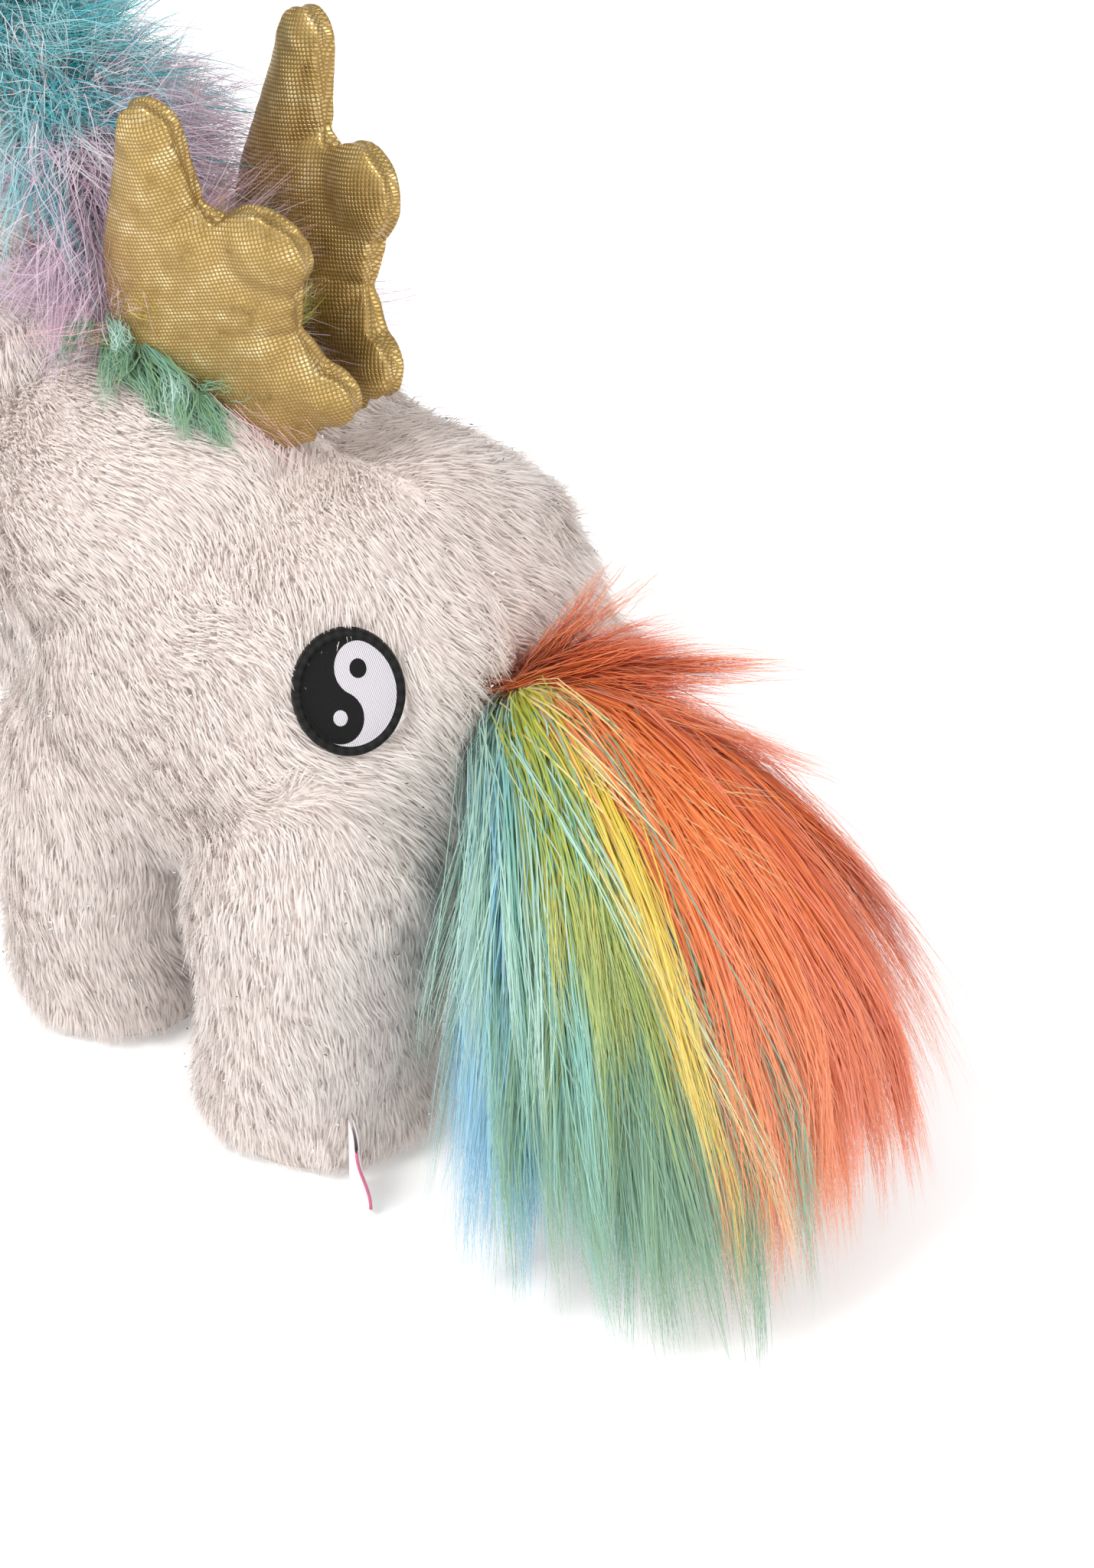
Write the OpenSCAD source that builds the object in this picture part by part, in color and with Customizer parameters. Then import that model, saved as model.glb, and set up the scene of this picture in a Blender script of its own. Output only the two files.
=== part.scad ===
// Plush unicorn standing on four feet, with lame wings and horn and a long-haired mane and tail.
// It faces -Y, its left side is +X, and it stands on z = 0. All sizes are millimetres.

/* [Body] */
// Radius of the barrel
barrel_r = 53; // [48:1:58]
// Length of the barrel, chest to rump
barrel_len = 112; // [104:1:124]
// Rounding of the barrel's two ends
barrel_round = 40; // [34:1:44]
// Height of the barrel's centre line
barrel_z = 83; // [76:1:90]
// Radius of the shoulders
shoulder_r = 46; // [42:1:50]
// How far the shoulders' centre lies in front of the barrel's middle
shoulder_ahead = 32; // [28:1:36]
// How far the shoulders' centre lies above the barrel's centre line
shoulder_up = 22; // [18:1:25]
// Thickness of the plush skin
skin_t = 2; // [1.5:0.1:3]
// Width of the belly gusset
gusset_w = 28; // [20:1:36]

/* [Legs] */
// Radius of a hind leg
hind_r = 26; // [22:0.5:28]
// Radius of a front leg
front_r = 25; // [20:0.5:26]
// Distance of a hind foot's centre from the middle
hind_x = 35; // [33:0.5:38]
// Distance of a front foot's centre from the middle
front_x = 30; // [27:0.5:35]
// How far a hind foot's centre lies behind the barrel's middle
hind_back = 30.5; // [27:0.5:34]
// Distance between a front and a hind foot's centres
foot_pitch = 60; // [54:1:68]
// Height at which a leg rounds over into the barrel
hip_z = 60; // [52:1:66]
// Rounding of a foot round its sole
foot_round = 6; // [4:0.5:9]
// Thickness of a sole
sole_t = 2; // [1:0.1:3]

/* [Head] */
// Radius of the skull
skull_r = 43; // [39:1:46]
// Radius of the neck
neck_r = 28; // [25:1:30]
// Reach of the neck out of the shoulders
neck_reach = 38; // [36:1:42]
// Distance from the neck's centre to the skull's centre
skull_reach = 46; // [43:1:49]
// Radius of the muzzle
muzzle_r = 29; // [25:1:32]
// Width of an ear
ear_w = 24; // [18:1:28]
// Height of an ear
ear_h = 36; // [28:1:42]
// Thickness of an ear's outer layer
ear_outer_t = 3.5; // [2:0.5:5]
// Thickness of an ear's lining
ear_lining_t = 2.5; // [1.5:0.5:4]
// Radius of an eye
eye_r = 7; // [5:0.5:9]

/* [Horn] */
// Length of the horn outside the skull
horn_len = 58; // [44:1:70]
// Radius of the horn at its root
horn_r = 11; // [8:0.5:14]
// Radius of the horn's rounded tip
horn_tip_r = 3; // [2:0.5:5]

/* [Wings] */
// Thickness of a wing
wing_t = 9; // [7:0.5:10]
// Distance of a wing's root from the middle at its front end
wing_x = 17.5; // [17.5:0.5:22]
// Thickness of the wing fabric
lame_t = 1.2; // [0.8:0.1:2]
// Lean of a wing outwards from upright
wing_lean = 10; // [8:1:18]

/* [Tail and mane] */
// Distance from the tail's root to the middle of its hair
tail_reach = 80; // [76:1:88]
// Radius of the tail's hair
tail_r = 40; // [34:1:42]
// Radius of the tail's root
tail_root_r = 7; // [5:0.5:9]
// Height of the tail's root above the barrel's centre line
tail_up = 14; // [8:1:20]
// Depth of the mane's hair
mane_t = 8; // [5:0.5:10]
// Width of the mane on the head and nape
mane_w = 28; // [20:1:34]

/* [Trim] */
// Radius of the embroidered patch
patch_r = 12.8; // [10:0.1:16]
// Thickness of the embroidered patch
patch_t = 1.5; // [1:0.1:3]
// Height of the care label
label_h = 15; // [10:0.5:20]
// Length of the care label from its seam
label_len = 11; // [8:0.5:16]
// Thickness of the folded care label
label_t = 0.8; // [0.5:0.1:1.2]

/* [Hidden] */
$fn = 48;

// Colours
fur_white = "#ebe3de";
sole_white = "#ddd3cd";
filling_white = "#f4f4f2";
lame_gold = "#b8934a";
thread_black = "#181815";
hair_lilac = "#ddc5dc";
hair_teal = "#5ab8b4";
hair_orange = "#e67f54";
label_white = "#efe6e8";

// Clearances: a moving ball in its socket, a moving edge over its seat, a turning wing in its seat,
// and the tail's hair above the floor and behind the rump
ball_gap = 0.3;
hinge_gap = 0.5;
seat_gap = 1.9;
floor_gap = 3;
rump_gap = 5;
// Length that stands for all round in cuts
big = 400;

// Where things are
barrel_y = -2;
hind_y = barrel_y + hind_back;
front_y = hind_y - foot_pitch;
shoulder_at = [0, barrel_y - shoulder_ahead, barrel_z + shoulder_up];
neck_dir = [0, -0.75, 0.66];
neck_at = shoulder_at + neck_reach * neck_dir;
skull_at = neck_at + skull_reach * neck_dir;
muzzle_at = skull_at + [0, -32, -14];
rump_y = barrel_y + barrel_len / 2;
tail_at = [0, rump_y - 1, barrel_z + tail_up];
tail_dir = [0.2625, 0.6825, -0.6825];
tail_mid = tail_at + tail_reach * tail_dir;
horn_dir = [0, -0.42, 0.9075];
eye_dir = [0.6, -0.7, 0.387];
ear_dir = [0.6, 0.2, 0.775];
nostril_dir = [0.34, -0.9, 0.27];
patch_dir = [0.60, 0.66, 0.45];
patch_at = [34, rump_y - 17, barrel_z + 24.4];
// A wing's root runs back along the shoulders, falling towards the rump and closing on the middle
wing_fall = 24.5;
wing_toe_in = 16.4;
wing_root_len = 46.8;
wing_root_at = [wing_x, shoulder_at[1] - 3.3, shoulder_at[2] + sqrt(pow(shoulder_r, 2) - pow(wing_x, 2)) + 6];
// The care label stands out of the seam at the outer rear of the left hind foot
label_turn = 55;
label_z = 2;
// The ends of the model lie the same distance before and behind the origin
y_shift = -(muzzle_at[1] - muzzle_r + tail_mid[1] + tail_r) / 2;

// Places its children in the part's frame
module placed() translate([0, y_shift, 0]) children();

// Turns +Z to the direction given
module toward(dir)
  rotate([0, acos(dir[2] / norm(dir)), atan2(dir[1], dir[0])]) children();

// The half of space on one side of the middle: +1 is the left
module half(side) translate([side * big / 2, 0, 0]) cube(big, center = true);

module on_side(side) if (side > 0) children(); else mirror([1, 0, 0]) children();

// --- Solids that the pieces are cut from; g moves a surface outwards ---

module barrel(g = 0) {
  r = barrel_r + g;
  half_len = barrel_len / 2 + g;
  c = barrel_round + g;
  translate([0, barrel_y, barrel_z]) rotate([90, 0, 0]) rotate_extrude() intersection() {
    union() {
      for (s = [-1, 1]) translate([r - c, s * (half_len - c)]) circle(c, $fn = 96);
      translate([0, -half_len]) square([r - c, 2 * half_len]);
      translate([0, c - half_len]) square([r, 2 * (half_len - c)]);
    }
    translate([0, -big / 2]) square(big);
  }
}

module shoulders(g = 0) translate(shoulder_at) sphere(shoulder_r + g, $fn = 96);

module body_solid(g = 0) {
  barrel(g);
  shoulders(g);
}

// One leg, from its sole up to the rounded haunch inside the barrel
module leg_solid(x, y, r, g = 0) {
  c = foot_round + g;
  translate([x, y, -g]) rotate_extrude() intersection() {
    union() {
      square([r + g - c, hip_z + g]);
      translate([0, c]) square([r + g, hip_z + g - c]);
      translate([r + g - c, c]) circle(c);
      translate([0, hip_z + g]) circle(r + g, $fn = 96);
    }
    square(big);
  }
}

module all_legs(g = 0) {
  for (s = [-1, 1]) {
    leg_solid(s * hind_x, hind_y, hind_r, g);
    leg_solid(s * front_x, front_y, front_r, g);
  }
}

module sole_solid(x, y, r) translate([x, y, 0]) cylinder(r = r - foot_round, h = sole_t);

module neck_ball(g = 0) translate(neck_at) sphere(neck_r + g, $fn = 96);

module skull(g = 0) translate(skull_at) sphere(skull_r + g, $fn = 96);

module muzzle_ball(g = 0) translate(muzzle_at) sphere(muzzle_r + g, $fn = 96);

module head_solid(g = 0) {
  skull(g);
  muzzle_ball(g);
}

// Puts a wing's own plane in place: x along its root to the rear, y up the wing, z outwards
module wing_place(side) on_side(side)
  translate(wing_root_at) rotate([-wing_fall, 0, wing_toe_in]) rotate([0, wing_lean, 0])
    rotate([90, 0, 90]) children();

// Three feathers: a tall one in front, a round one and a small low one behind
module wing_outline(g = 0) {
  offset(delta = g) polygon([[0, 0], [-9, 20], [-16, 54], [-3.4, 57.5], [6, 45], [20, 40],
                             [31, 38], [34, 30], [44, 22], [wing_root_len, 0]]);
  translate([-9.8, 55.8]) circle(6.5 + g, $fn = 32);
  translate([20.7, 43.5]) circle(10.5 + g, $fn = 32);
  translate([44.5, 18]) circle(7 + g, $fn = 32);
}

module wing_hollow() linear_extrude(wing_t - 2 * lame_t, center = true) wing_outline(-lame_t);

// Room in the body for a wing's root to turn
module wing_seats() for (s = [-1, 1]) wing_place(s)
  translate([-2, 0, 0]) rotate([0, 90, 0]) cylinder(r = wing_t / 2 + seat_gap, h = wing_root_len + 4);

module tail_seat() translate(tail_at) sphere(tail_root_r + ball_gap);

// Puts an ear's own plane in place: y up the ear, z to its lining, which ear_turn turns forwards
ear_t = ear_outer_t + ear_lining_t;
ear_turn = 80;
module ear_place(side) on_side(side)
  translate(skull_at + (skull_r + hinge_gap) * ear_dir) toward(ear_dir)
    rotate([0, 0, 90 - ear_turn]) rotate([90, 0, 0]) children();

// An ear's outline is the overlap of two circles
module ear_leaf() {
  circle_r = (pow(ear_h / 2, 2) + pow(ear_w / 2, 2)) / ear_w;
  intersection() {
    translate([circle_r - ear_w / 2, ear_h / 2 - 5]) circle(circle_r, $fn = 96);
    translate([ear_w / 2 - circle_r, ear_h / 2 - 5]) circle(circle_r, $fn = 96);
    translate([-big / 2, 0]) square(big);
  }
}

module ear_seats() for (s = [-1, 1]) ear_place(s)
  rotate([0, 90, 0]) cylinder(r = ear_t / 2 + hinge_gap, h = ear_w, center = true);

eye_post_r = 1.8;
eye_washer_t = 1.5;
eye_post_len = 9;
module eye_place(side) on_side(side) translate(skull_at + skull_r * eye_dir) toward(eye_dir) children();

module eye_post(g = 0) translate([0, 0, -eye_post_len]) cylinder(r = eye_post_r + g, h = eye_post_len + 1);

module eye_washer_solid() translate([0, 0, -skin_t - 1 - eye_washer_t]) cylinder(r = eye_r, h = eye_washer_t);

module eye_hardware() for (s = [-1, 1]) eye_place(s) {
  eye_post();
  eye_washer_solid();
}

module horn_solid(g = 0) translate(skull_at) toward(horn_dir) rotate_extrude() {
  top = skull_r + horn_len - horn_tip_r;
  polygon([[0, skull_r - 12], [horn_r + g, skull_r - 12], [horn_tip_r + g, top], [0, top]]);
  translate([0, top]) intersection() {
    circle(horn_tip_r + g);
    square(big);
  }
}

// --- Body ---

module body_skin() difference() {
  body_solid();
  body_solid(-skin_t);
  all_legs(-skin_t);
  neck_ball(ball_gap);
  wing_seats();
  tail_seat();
}

module gusset_slab() translate([-gusset_w / 2, -big / 2, 0]) cube([gusset_w, big, barrel_z]);

module body_panel(side) color(fur_white) placed() difference() {
  intersection() {
    body_skin();
    half(side);
  }
  gusset_slab();
}

module belly_gusset() color(fur_white) placed() intersection() {
  body_skin();
  gusset_slab();
}

module body_filling() color(filling_white) placed() difference() {
  body_solid(-skin_t);
  neck_ball(ball_gap);
  wing_seats();
  tail_seat();
}

module leg(x, y, r) color(fur_white) placed() difference() {
  leg_solid(x, y, r);
  leg_solid(x, y, r, -skin_t);
  sole_solid(x, y, r);
  body_solid();
}

module sole(x, y, r) color(sole_white) placed() sole_solid(x, y, r);

module leg_filling(x, y, r) color(filling_white) placed() difference() {
  leg_solid(x, y, r, -skin_t);
  sole_solid(x, y, r);
  body_solid(-skin_t);
}

module hip_patch() color(thread_black) placed() intersection() {
  translate(patch_at) toward(patch_dir) cylinder(r = patch_r, h = 30, center = true);
  difference() {
    body_solid(patch_t);
    body_solid();
  }
}

module care_label() color(label_white) placed()
  translate([hind_x, hind_y, label_z]) rotate([0, 0, label_turn])
    translate([hind_r + hinge_gap, -label_t / 2, 0]) cube([label_len, label_t, label_h]);

// The mane's last tuft stands on the shoulders, between the neck and the wings
module mane_withers() color(hair_lilac) placed() difference() {
  intersection() {
    shoulders(mane_t);
    translate([-mane_w / 2, neck_at[1], neck_at[2]]) cube([mane_w, wing_root_at[1] - neck_at[1] - 4, big]);
    translate(neck_at + 3 * neck_dir) toward(neck_dir) translate([0, 0, -big / 2]) cube(big, center = true);
  }
  body_solid();
  neck_ball(1);
}

// --- Neck ---

module neck_cover() color(fur_white) placed() difference() {
  neck_ball();
  neck_ball(-skin_t);
}

module neck_filling() color(filling_white) placed() neck_ball(-skin_t);

// --- Head ---

module head_cuts() {
  neck_ball(ball_gap);
  ear_seats();
  eye_hardware();
}

module head_panel(side) color(fur_white) placed() difference() {
  intersection() {
    skull();
    half(side);
  }
  skull(-skin_t);
  muzzle_ball(-skin_t);
  head_cuts();
}

module muzzle() color(fur_white) placed() difference() {
  muzzle_ball();
  muzzle_ball(-skin_t);
  skull();
  neck_ball(ball_gap);
}

module head_filling() color(filling_white) placed() difference() {
  head_solid(-skin_t);
  head_cuts();
}

module eye(side) color(thread_black) placed() {
  difference() {
    on_side(side) translate(skull_at + (skull_r - 2.5) * eye_dir) sphere(eye_r);
    head_solid();
  }
  eye_place(side) eye_post();
}

module eye_washer(side) color(filling_white) placed() eye_place(side) difference() {
  eye_washer_solid();
  eye_post();
}

stitch_t = 0.8;
module nostril(side) color(thread_black) placed() difference() {
  intersection() {
    muzzle_ball(stitch_t);
    on_side(side) translate(muzzle_at) toward(nostril_dir) cylinder(r = 2.6, h = big);
  }
  muzzle_ball();
}

mouth_w = 26;
mouth_drop = 8;
module mouth_stitch() color(thread_black) placed() intersection() {
  difference() {
    muzzle_ball(stitch_t);
    muzzle_ball();
  }
  translate(muzzle_at + [-mouth_w / 2, -big, -mouth_drop - stitch_t]) cube([mouth_w, big, 2 * stitch_t]);
}

module mane_crest() color(hair_teal) placed() difference() {
  intersection() {
    skull(mane_t);
    translate(skull_at + [-mane_w / 2, 2, 12]) cube([mane_w, big, big]);
  }
  skull();
  horn_solid(hinge_gap);
}

module forelock() color(hair_lilac) placed() difference() {
  intersection() {
    skull(mane_t * 0.7);
    translate(skull_at + [-mane_w * 0.4, -big - 8, skull_r * 0.5]) cube([mane_w * 0.8, big, big]);
  }
  skull();
  horn_solid();
}

module horn_cover() color(lame_gold) placed() difference() {
  horn_solid();
  horn_solid(-lame_t);
  skull();
}

module horn_filling() color(filling_white) placed() difference() {
  horn_solid(-lame_t);
  skull();
}

module ear_outer(side) color(fur_white) placed() ear_place(side)
  translate([0, 0, -ear_t / 2]) linear_extrude(ear_outer_t) ear_leaf();

module ear_lining(side) color(lame_gold) placed() ear_place(side)
  translate([0, 0, ear_outer_t - ear_t / 2]) linear_extrude(ear_lining_t) ear_leaf();

// --- Wings: two sewn panels round a filling; face is +1 for the outer panel ---

module wing_panel(side, face) color(lame_gold) placed() wing_place(side) difference() {
  translate([0, 0, face * wing_t / 4]) linear_extrude(wing_t / 2, center = true) wing_outline();
  wing_hollow();
}

module wing_filling(side) color(filling_white) placed() wing_place(side) wing_hollow();

// --- Tail ---

module tail_root() color(hair_orange) placed() translate(tail_at) sphere(tail_root_r);

// The hair widens from its root to a round end, and starts clear of the rump
module tail_hair() color(hair_orange) placed() difference() {
  translate(tail_at) toward(tail_dir) rotate_extrude() {
    slope = asin((tail_r - tail_root_r) / tail_reach);
    polygon([[0, 0], [tail_root_r * cos(slope), -tail_root_r * sin(slope)],
             [tail_r * cos(slope), tail_reach - tail_r * sin(slope)], [0, tail_reach]]);
    intersection() {
      translate([0, tail_reach]) circle(tail_r, $fn = 96);
      square(big);
    }
  }
  translate(tail_at) sphere(tail_root_r + ball_gap);
  translate([0, rump_y + rump_gap - big / 2, 0]) cube(big, center = true);
  translate([0, 0, floor_gap - big / 2]) cube(big, center = true);
}

body_panel(1);  // body_left_panel
body_panel(-1);  // body_right_panel
belly_gusset();
body_filling();
leg(front_x, front_y, front_r);  // front_left_leg
leg(-front_x, front_y, front_r);  // front_right_leg
leg(hind_x, hind_y, hind_r);  // hind_left_leg
leg(-hind_x, hind_y, hind_r);  // hind_right_leg
sole(front_x, front_y, front_r);  // front_left_sole
sole(-front_x, front_y, front_r);  // front_right_sole
sole(hind_x, hind_y, hind_r);  // hind_left_sole
sole(-hind_x, hind_y, hind_r);  // hind_right_sole
leg_filling(front_x, front_y, front_r);  // front_left_leg_filling
leg_filling(-front_x, front_y, front_r);  // front_right_leg_filling
leg_filling(hind_x, hind_y, hind_r);  // hind_left_leg_filling
leg_filling(-hind_x, hind_y, hind_r);  // hind_right_leg_filling
hip_patch();
care_label();
mane_withers();
neck_cover();
neck_filling();
head_panel(1);  // head_left_panel
head_panel(-1);  // head_right_panel
muzzle();
head_filling();
eye(1);  // eye_left
eye(-1);  // eye_right
eye_washer(1);  // eye_left_washer
eye_washer(-1);  // eye_right_washer
nostril(1);  // nostril_left
nostril(-1);  // nostril_right
mouth_stitch();
mane_crest();
forelock();
horn_cover();
horn_filling();
ear_outer(1);  // ear_left_outer
ear_lining(1);  // ear_left_lining
ear_outer(-1);  // ear_right_outer
ear_lining(-1);  // ear_right_lining
wing_panel(1, 1);  // wing_left_outer_panel
wing_panel(1, -1);  // wing_left_inner_panel
wing_filling(1);  // wing_left_filling
wing_panel(-1, 1);  // wing_right_outer_panel
wing_panel(-1, -1);  // wing_right_inner_panel
wing_filling(-1);  // wing_right_filling
tail_root();
tail_hair();
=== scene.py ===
"""Plush unicorn: the skins, pile, hair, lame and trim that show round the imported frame."""
import math

import bpy
import numpy as np
from mathutils import Matrix, Vector, kdtree, noise
from mathutils.bvhtree import BVHTree


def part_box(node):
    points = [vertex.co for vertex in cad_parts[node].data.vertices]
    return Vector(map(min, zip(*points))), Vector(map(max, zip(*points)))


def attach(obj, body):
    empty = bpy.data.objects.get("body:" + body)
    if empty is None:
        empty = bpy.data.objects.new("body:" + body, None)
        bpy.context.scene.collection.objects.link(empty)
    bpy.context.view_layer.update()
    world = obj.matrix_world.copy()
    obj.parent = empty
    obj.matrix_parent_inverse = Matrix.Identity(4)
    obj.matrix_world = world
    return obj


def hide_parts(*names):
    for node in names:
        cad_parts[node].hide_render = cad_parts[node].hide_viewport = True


MM = 0.001
SEED = 7

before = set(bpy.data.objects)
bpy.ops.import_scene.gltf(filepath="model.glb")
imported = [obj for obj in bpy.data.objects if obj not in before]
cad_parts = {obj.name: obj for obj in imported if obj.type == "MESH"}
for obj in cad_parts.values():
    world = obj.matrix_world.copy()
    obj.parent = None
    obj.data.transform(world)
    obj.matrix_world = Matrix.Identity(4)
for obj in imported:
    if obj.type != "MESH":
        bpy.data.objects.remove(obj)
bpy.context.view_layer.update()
bpy.ops.object.select_all(action="DESELECT")


def array(v):
    return np.array(v, float)


def unit(v):
    return v / np.maximum(np.linalg.norm(v, axis=-1, keepdims=True), 1e-12)


def corners(node):
    low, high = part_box(node)
    return array(low), array(high)


def middle(node):
    low, high = corners(node)
    return (low + high) / 2


# --- Landmarks, from the frame ---------------------------------------------------------------
NECK = middle("neck_filling")
NECK_R = (corners("neck_cover")[1] - corners("neck_cover")[0])[0] / 2
SKULL_R = corners("head_left_panel")[1][0]
SKULL = array([0, corners("head_left_panel")[0][1] + SKULL_R, corners("head_left_panel")[1][2] - SKULL_R])
MUZZLE_R = corners("muzzle")[1][0]
MUZZLE = corners("muzzle")[0] + MUZZLE_R
BARREL_R = corners("body_left_panel")[1][0]
RUMP_Y = corners("body_left_panel")[1][1]
BARREL_LEN = 112 * MM
BARREL = array([0, RUMP_Y - BARREL_LEN / 2, corners("belly_gusset")[0][2] + BARREL_R])
BARREL_ROUND = 40 * MM
GUSSET_W = 28 * MM
SHOULDER_R = 46 * MM
SHOULDERS = BARREL + array([0, -32, 22]) * MM
TAIL = middle("tail_root")
LEGS = {
    "front_left": (middle("front_left_sole"), 25 * MM), "front_right": (middle("front_right_sole"), 25 * MM),
    "hind_left": (middle("hind_left_sole"), 26 * MM), "hind_right": (middle("hind_right_sole"), 26 * MM),
}
HIP_Z = 60 * MM
FOOT_ROUND = 6 * MM
PATCH = array([34, 0, 107.4]) * MM + array([0, RUMP_Y - 17 * MM, 0])
PATCH_DIR = unit(array([0.60, 0.66, 0.45]))
PATCH_R = 12.8 * MM
UP = array([0, 0, 1])
HORN_DIR = unit(array([0, -0.42, 0.9075]))
EYE_DIR = unit(array([0.6, -0.7, 0.387]))
NOSTRIL_DIR = unit(array([0.34, -0.9, 0.27]))
PILE_WIDTH = 0.40 * MM
PILE_LAY = 0.85  # how far the pile lies down along its comb
SHADE_STRAY = 0.008  # how far the hairs of one lock stray from its dye
HAIR_BACK = 152 * MM  # hair beyond these is drawn in, so that it stays inside the model's size
HAIR_SIDE = 62 * MM
PILE_DEPTH = 3.4 * MM  # how far the backing lies under the outer surface that the pile makes


# --- Materials -----------------------------------------------------------------------------------
def linear(hex_colour):
    """An sRGB hex colour as linear RGBA."""
    parts = [int(hex_colour[i:i + 2], 16) / 255 for i in (1, 3, 5)]
    return [c / 12.92 if c <= 0.04045 else ((c + 0.055) / 1.055) ** 2.4 for c in parts] + [1.0]


def add(tree, kind, values=(), links=(), **settings):
    """Adds one node with its settings, socket values and incoming links."""
    node = tree.nodes.new("ShaderNode" + kind)
    for name, value in settings.items():
        setattr(node, name, value)
    for socket, value in dict(values).items():
        node.inputs[socket].default_value = value
    for socket, source in dict(links).items():
        tree.links.new(source, node.inputs[socket])
    return node


def start_material(name):
    material = bpy.data.materials.new(name)
    material.use_nodes = True
    material.node_tree.nodes.clear()
    return material, material.node_tree


def finish_material(material, shader):
    add(material.node_tree, "OutputMaterial", links={"Surface": shader.outputs[0]})
    return material


def set_ramp(ramp, stops):
    """Gives a colour ramp its (position, hex colour) stops."""
    elements = ramp.color_ramp.elements
    while len(elements) < len(stops):
        elements.new(0.5)
    for element, (place, colour) in zip(elements, stops):
        element.position = place
        element.color = linear(colour)
    return ramp


def fibre_material(name, shades, painted_root_shade, tip_shade, painted_root_shade_amount, tip_amount, roughness, through, sheen):
    """Pile and hair: u picks the fibre's shade, v runs from its root to its tip, painted shade darkens the root, and
    light comes through it.
    """
    material, tree = start_material(name)
    uv = add(tree, "UVMap", uv_map="OFBake")
    parts = add(tree, "SeparateXYZ", links={"Vector": uv.outputs["UV"]})
    shade = set_ramp(add(tree, "ValToRGB", links={"Fac": parts.outputs["X"]}), shades)
    # Painted shade: the root end of each fibre is multiplied darker, as if shaded by the fibres around it
    root = add(tree, "MapRange", {"From Min": 0.0, "From Max": 0.55, "To Min": painted_root_shade_amount, "To Max": 0.0},
               {"Value": parts.outputs["Y"]})
    tip = add(tree, "MapRange", {"From Min": 0.55, "From Max": 1.0, "To Min": 0.0, "To Max": tip_amount},
              {"Value": parts.outputs["Y"]})
    root_shaded = mix_colour(tree, shade.outputs["Color"], painted_root_shade, root.outputs["Result"], "MULTIPLY")
    tipped = mix_colour(tree, root_shaded, tip_shade, tip.outputs["Result"], "MIX")
    fibre = add(tree, "BsdfPrincipled",
                {"Roughness": roughness, "Sheen Weight": sheen, "Sheen Roughness": 0.4, "IOR": 1.5},
                {"Base Color": tipped})
    back = add(tree, "BsdfTranslucent", links={"Color": tipped})
    both = add(tree, "MixShader", {0: through}, {1: fibre.outputs["BSDF"], 2: back.outputs["BSDF"]})
    return finish_material(material, both)


def mix_colour(tree, first, second, amount, blend):
    """Mixes two colours, each a socket or a hex colour, and returns the result's socket."""
    node = add(tree, "Mix", data_type="RGBA", blend_type=blend)
    sockets = [s for s in node.inputs if s.type == "RGBA"]
    for socket, value in zip(sockets, (first, second)):
        if isinstance(value, str):
            socket.default_value = linear(value)
        else:
            tree.links.new(value, socket)
    if isinstance(amount, float):
        node.inputs["Factor"].default_value = amount
    else:
        tree.links.new(amount, node.inputs["Factor"])
    return [s for s in node.outputs if s.type == "RGBA"][0]


# Polyester plush pile: fine, pale and soft, with painted shade that makes it darker and warmer at the root
PLUSH = fibre_material("polyester_plush_pile",
                       [(0.0, "#efe3dc"), (0.3, "#f2e9e4"), (0.7, "#f4ede9"), (1.0, "#f7f1ed")],
                       "#faf2ec", "#fbf7f4", 0.05, 0.35, 0.8, 0.42, 0.5)

# Long silky fibre, heat-straightened and dyed: u is the dye's place in this row of colours, and painted shade darkens
# each hair's root
DYES = (("mint", "#b4d8ca"), ("teal", "#86c4b4"), ("sky", "#90ccea"), ("green", "#78a682"), ("leaf", "#a2b650"),
        ("lime", "#bcbc3c"), ("yellow", "#e4c944"), ("straw", "#ead99c"), ("apricot", "#f4985f"),
        ("orange", "#ee8848"), ("coral", "#e97838"), ("pink", "#eebcc6"), ("lilac", "#e0c8dc"),
        ("pale", "#eee6ea"), ("aqua", "#9cd6dc"), ("deep_teal", "#1fb0ba"))
DYE_AT = {name: (i + 0.5) / len(DYES) for i, (name, colour) in enumerate(DYES)}
HAIR = fibre_material("dyed_polyester_hair", [(DYE_AT[name], colour) for name, colour in DYES],
                      "#b9a79c", "#ffffff", 0.45, 0.16, 0.42, 0.25, 0.3)


def backing_material():
    """Knitted backing under the pile: matt, a little darker than the pile, with a fine knit."""
    material, tree = start_material("knitted_backing")
    place = add(tree, "TexCoord")
    grain = add(tree, "TexNoise", {"Scale": 900.0, "Detail": 3.0}, {"Vector": place.outputs["Object"]})
    tone = set_ramp(add(tree, "ValToRGB", links={"Fac": grain.outputs["Fac"]}),
                    [(0.3, "#f7eee8"), (0.7, "#fbf4f0")])
    bump = add(tree, "Bump", {"Strength": 0.4, "Distance": 0.3 * MM}, {"Height": grain.outputs["Fac"]})
    cloth = add(tree, "BsdfPrincipled", {"Roughness": 0.9, "Sheen Weight": 0.3},
                {"Base Color": tone.outputs["Color"], "Normal": bump.outputs["Normal"]})
    return finish_material(material, cloth)


BACKING = backing_material()


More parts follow.
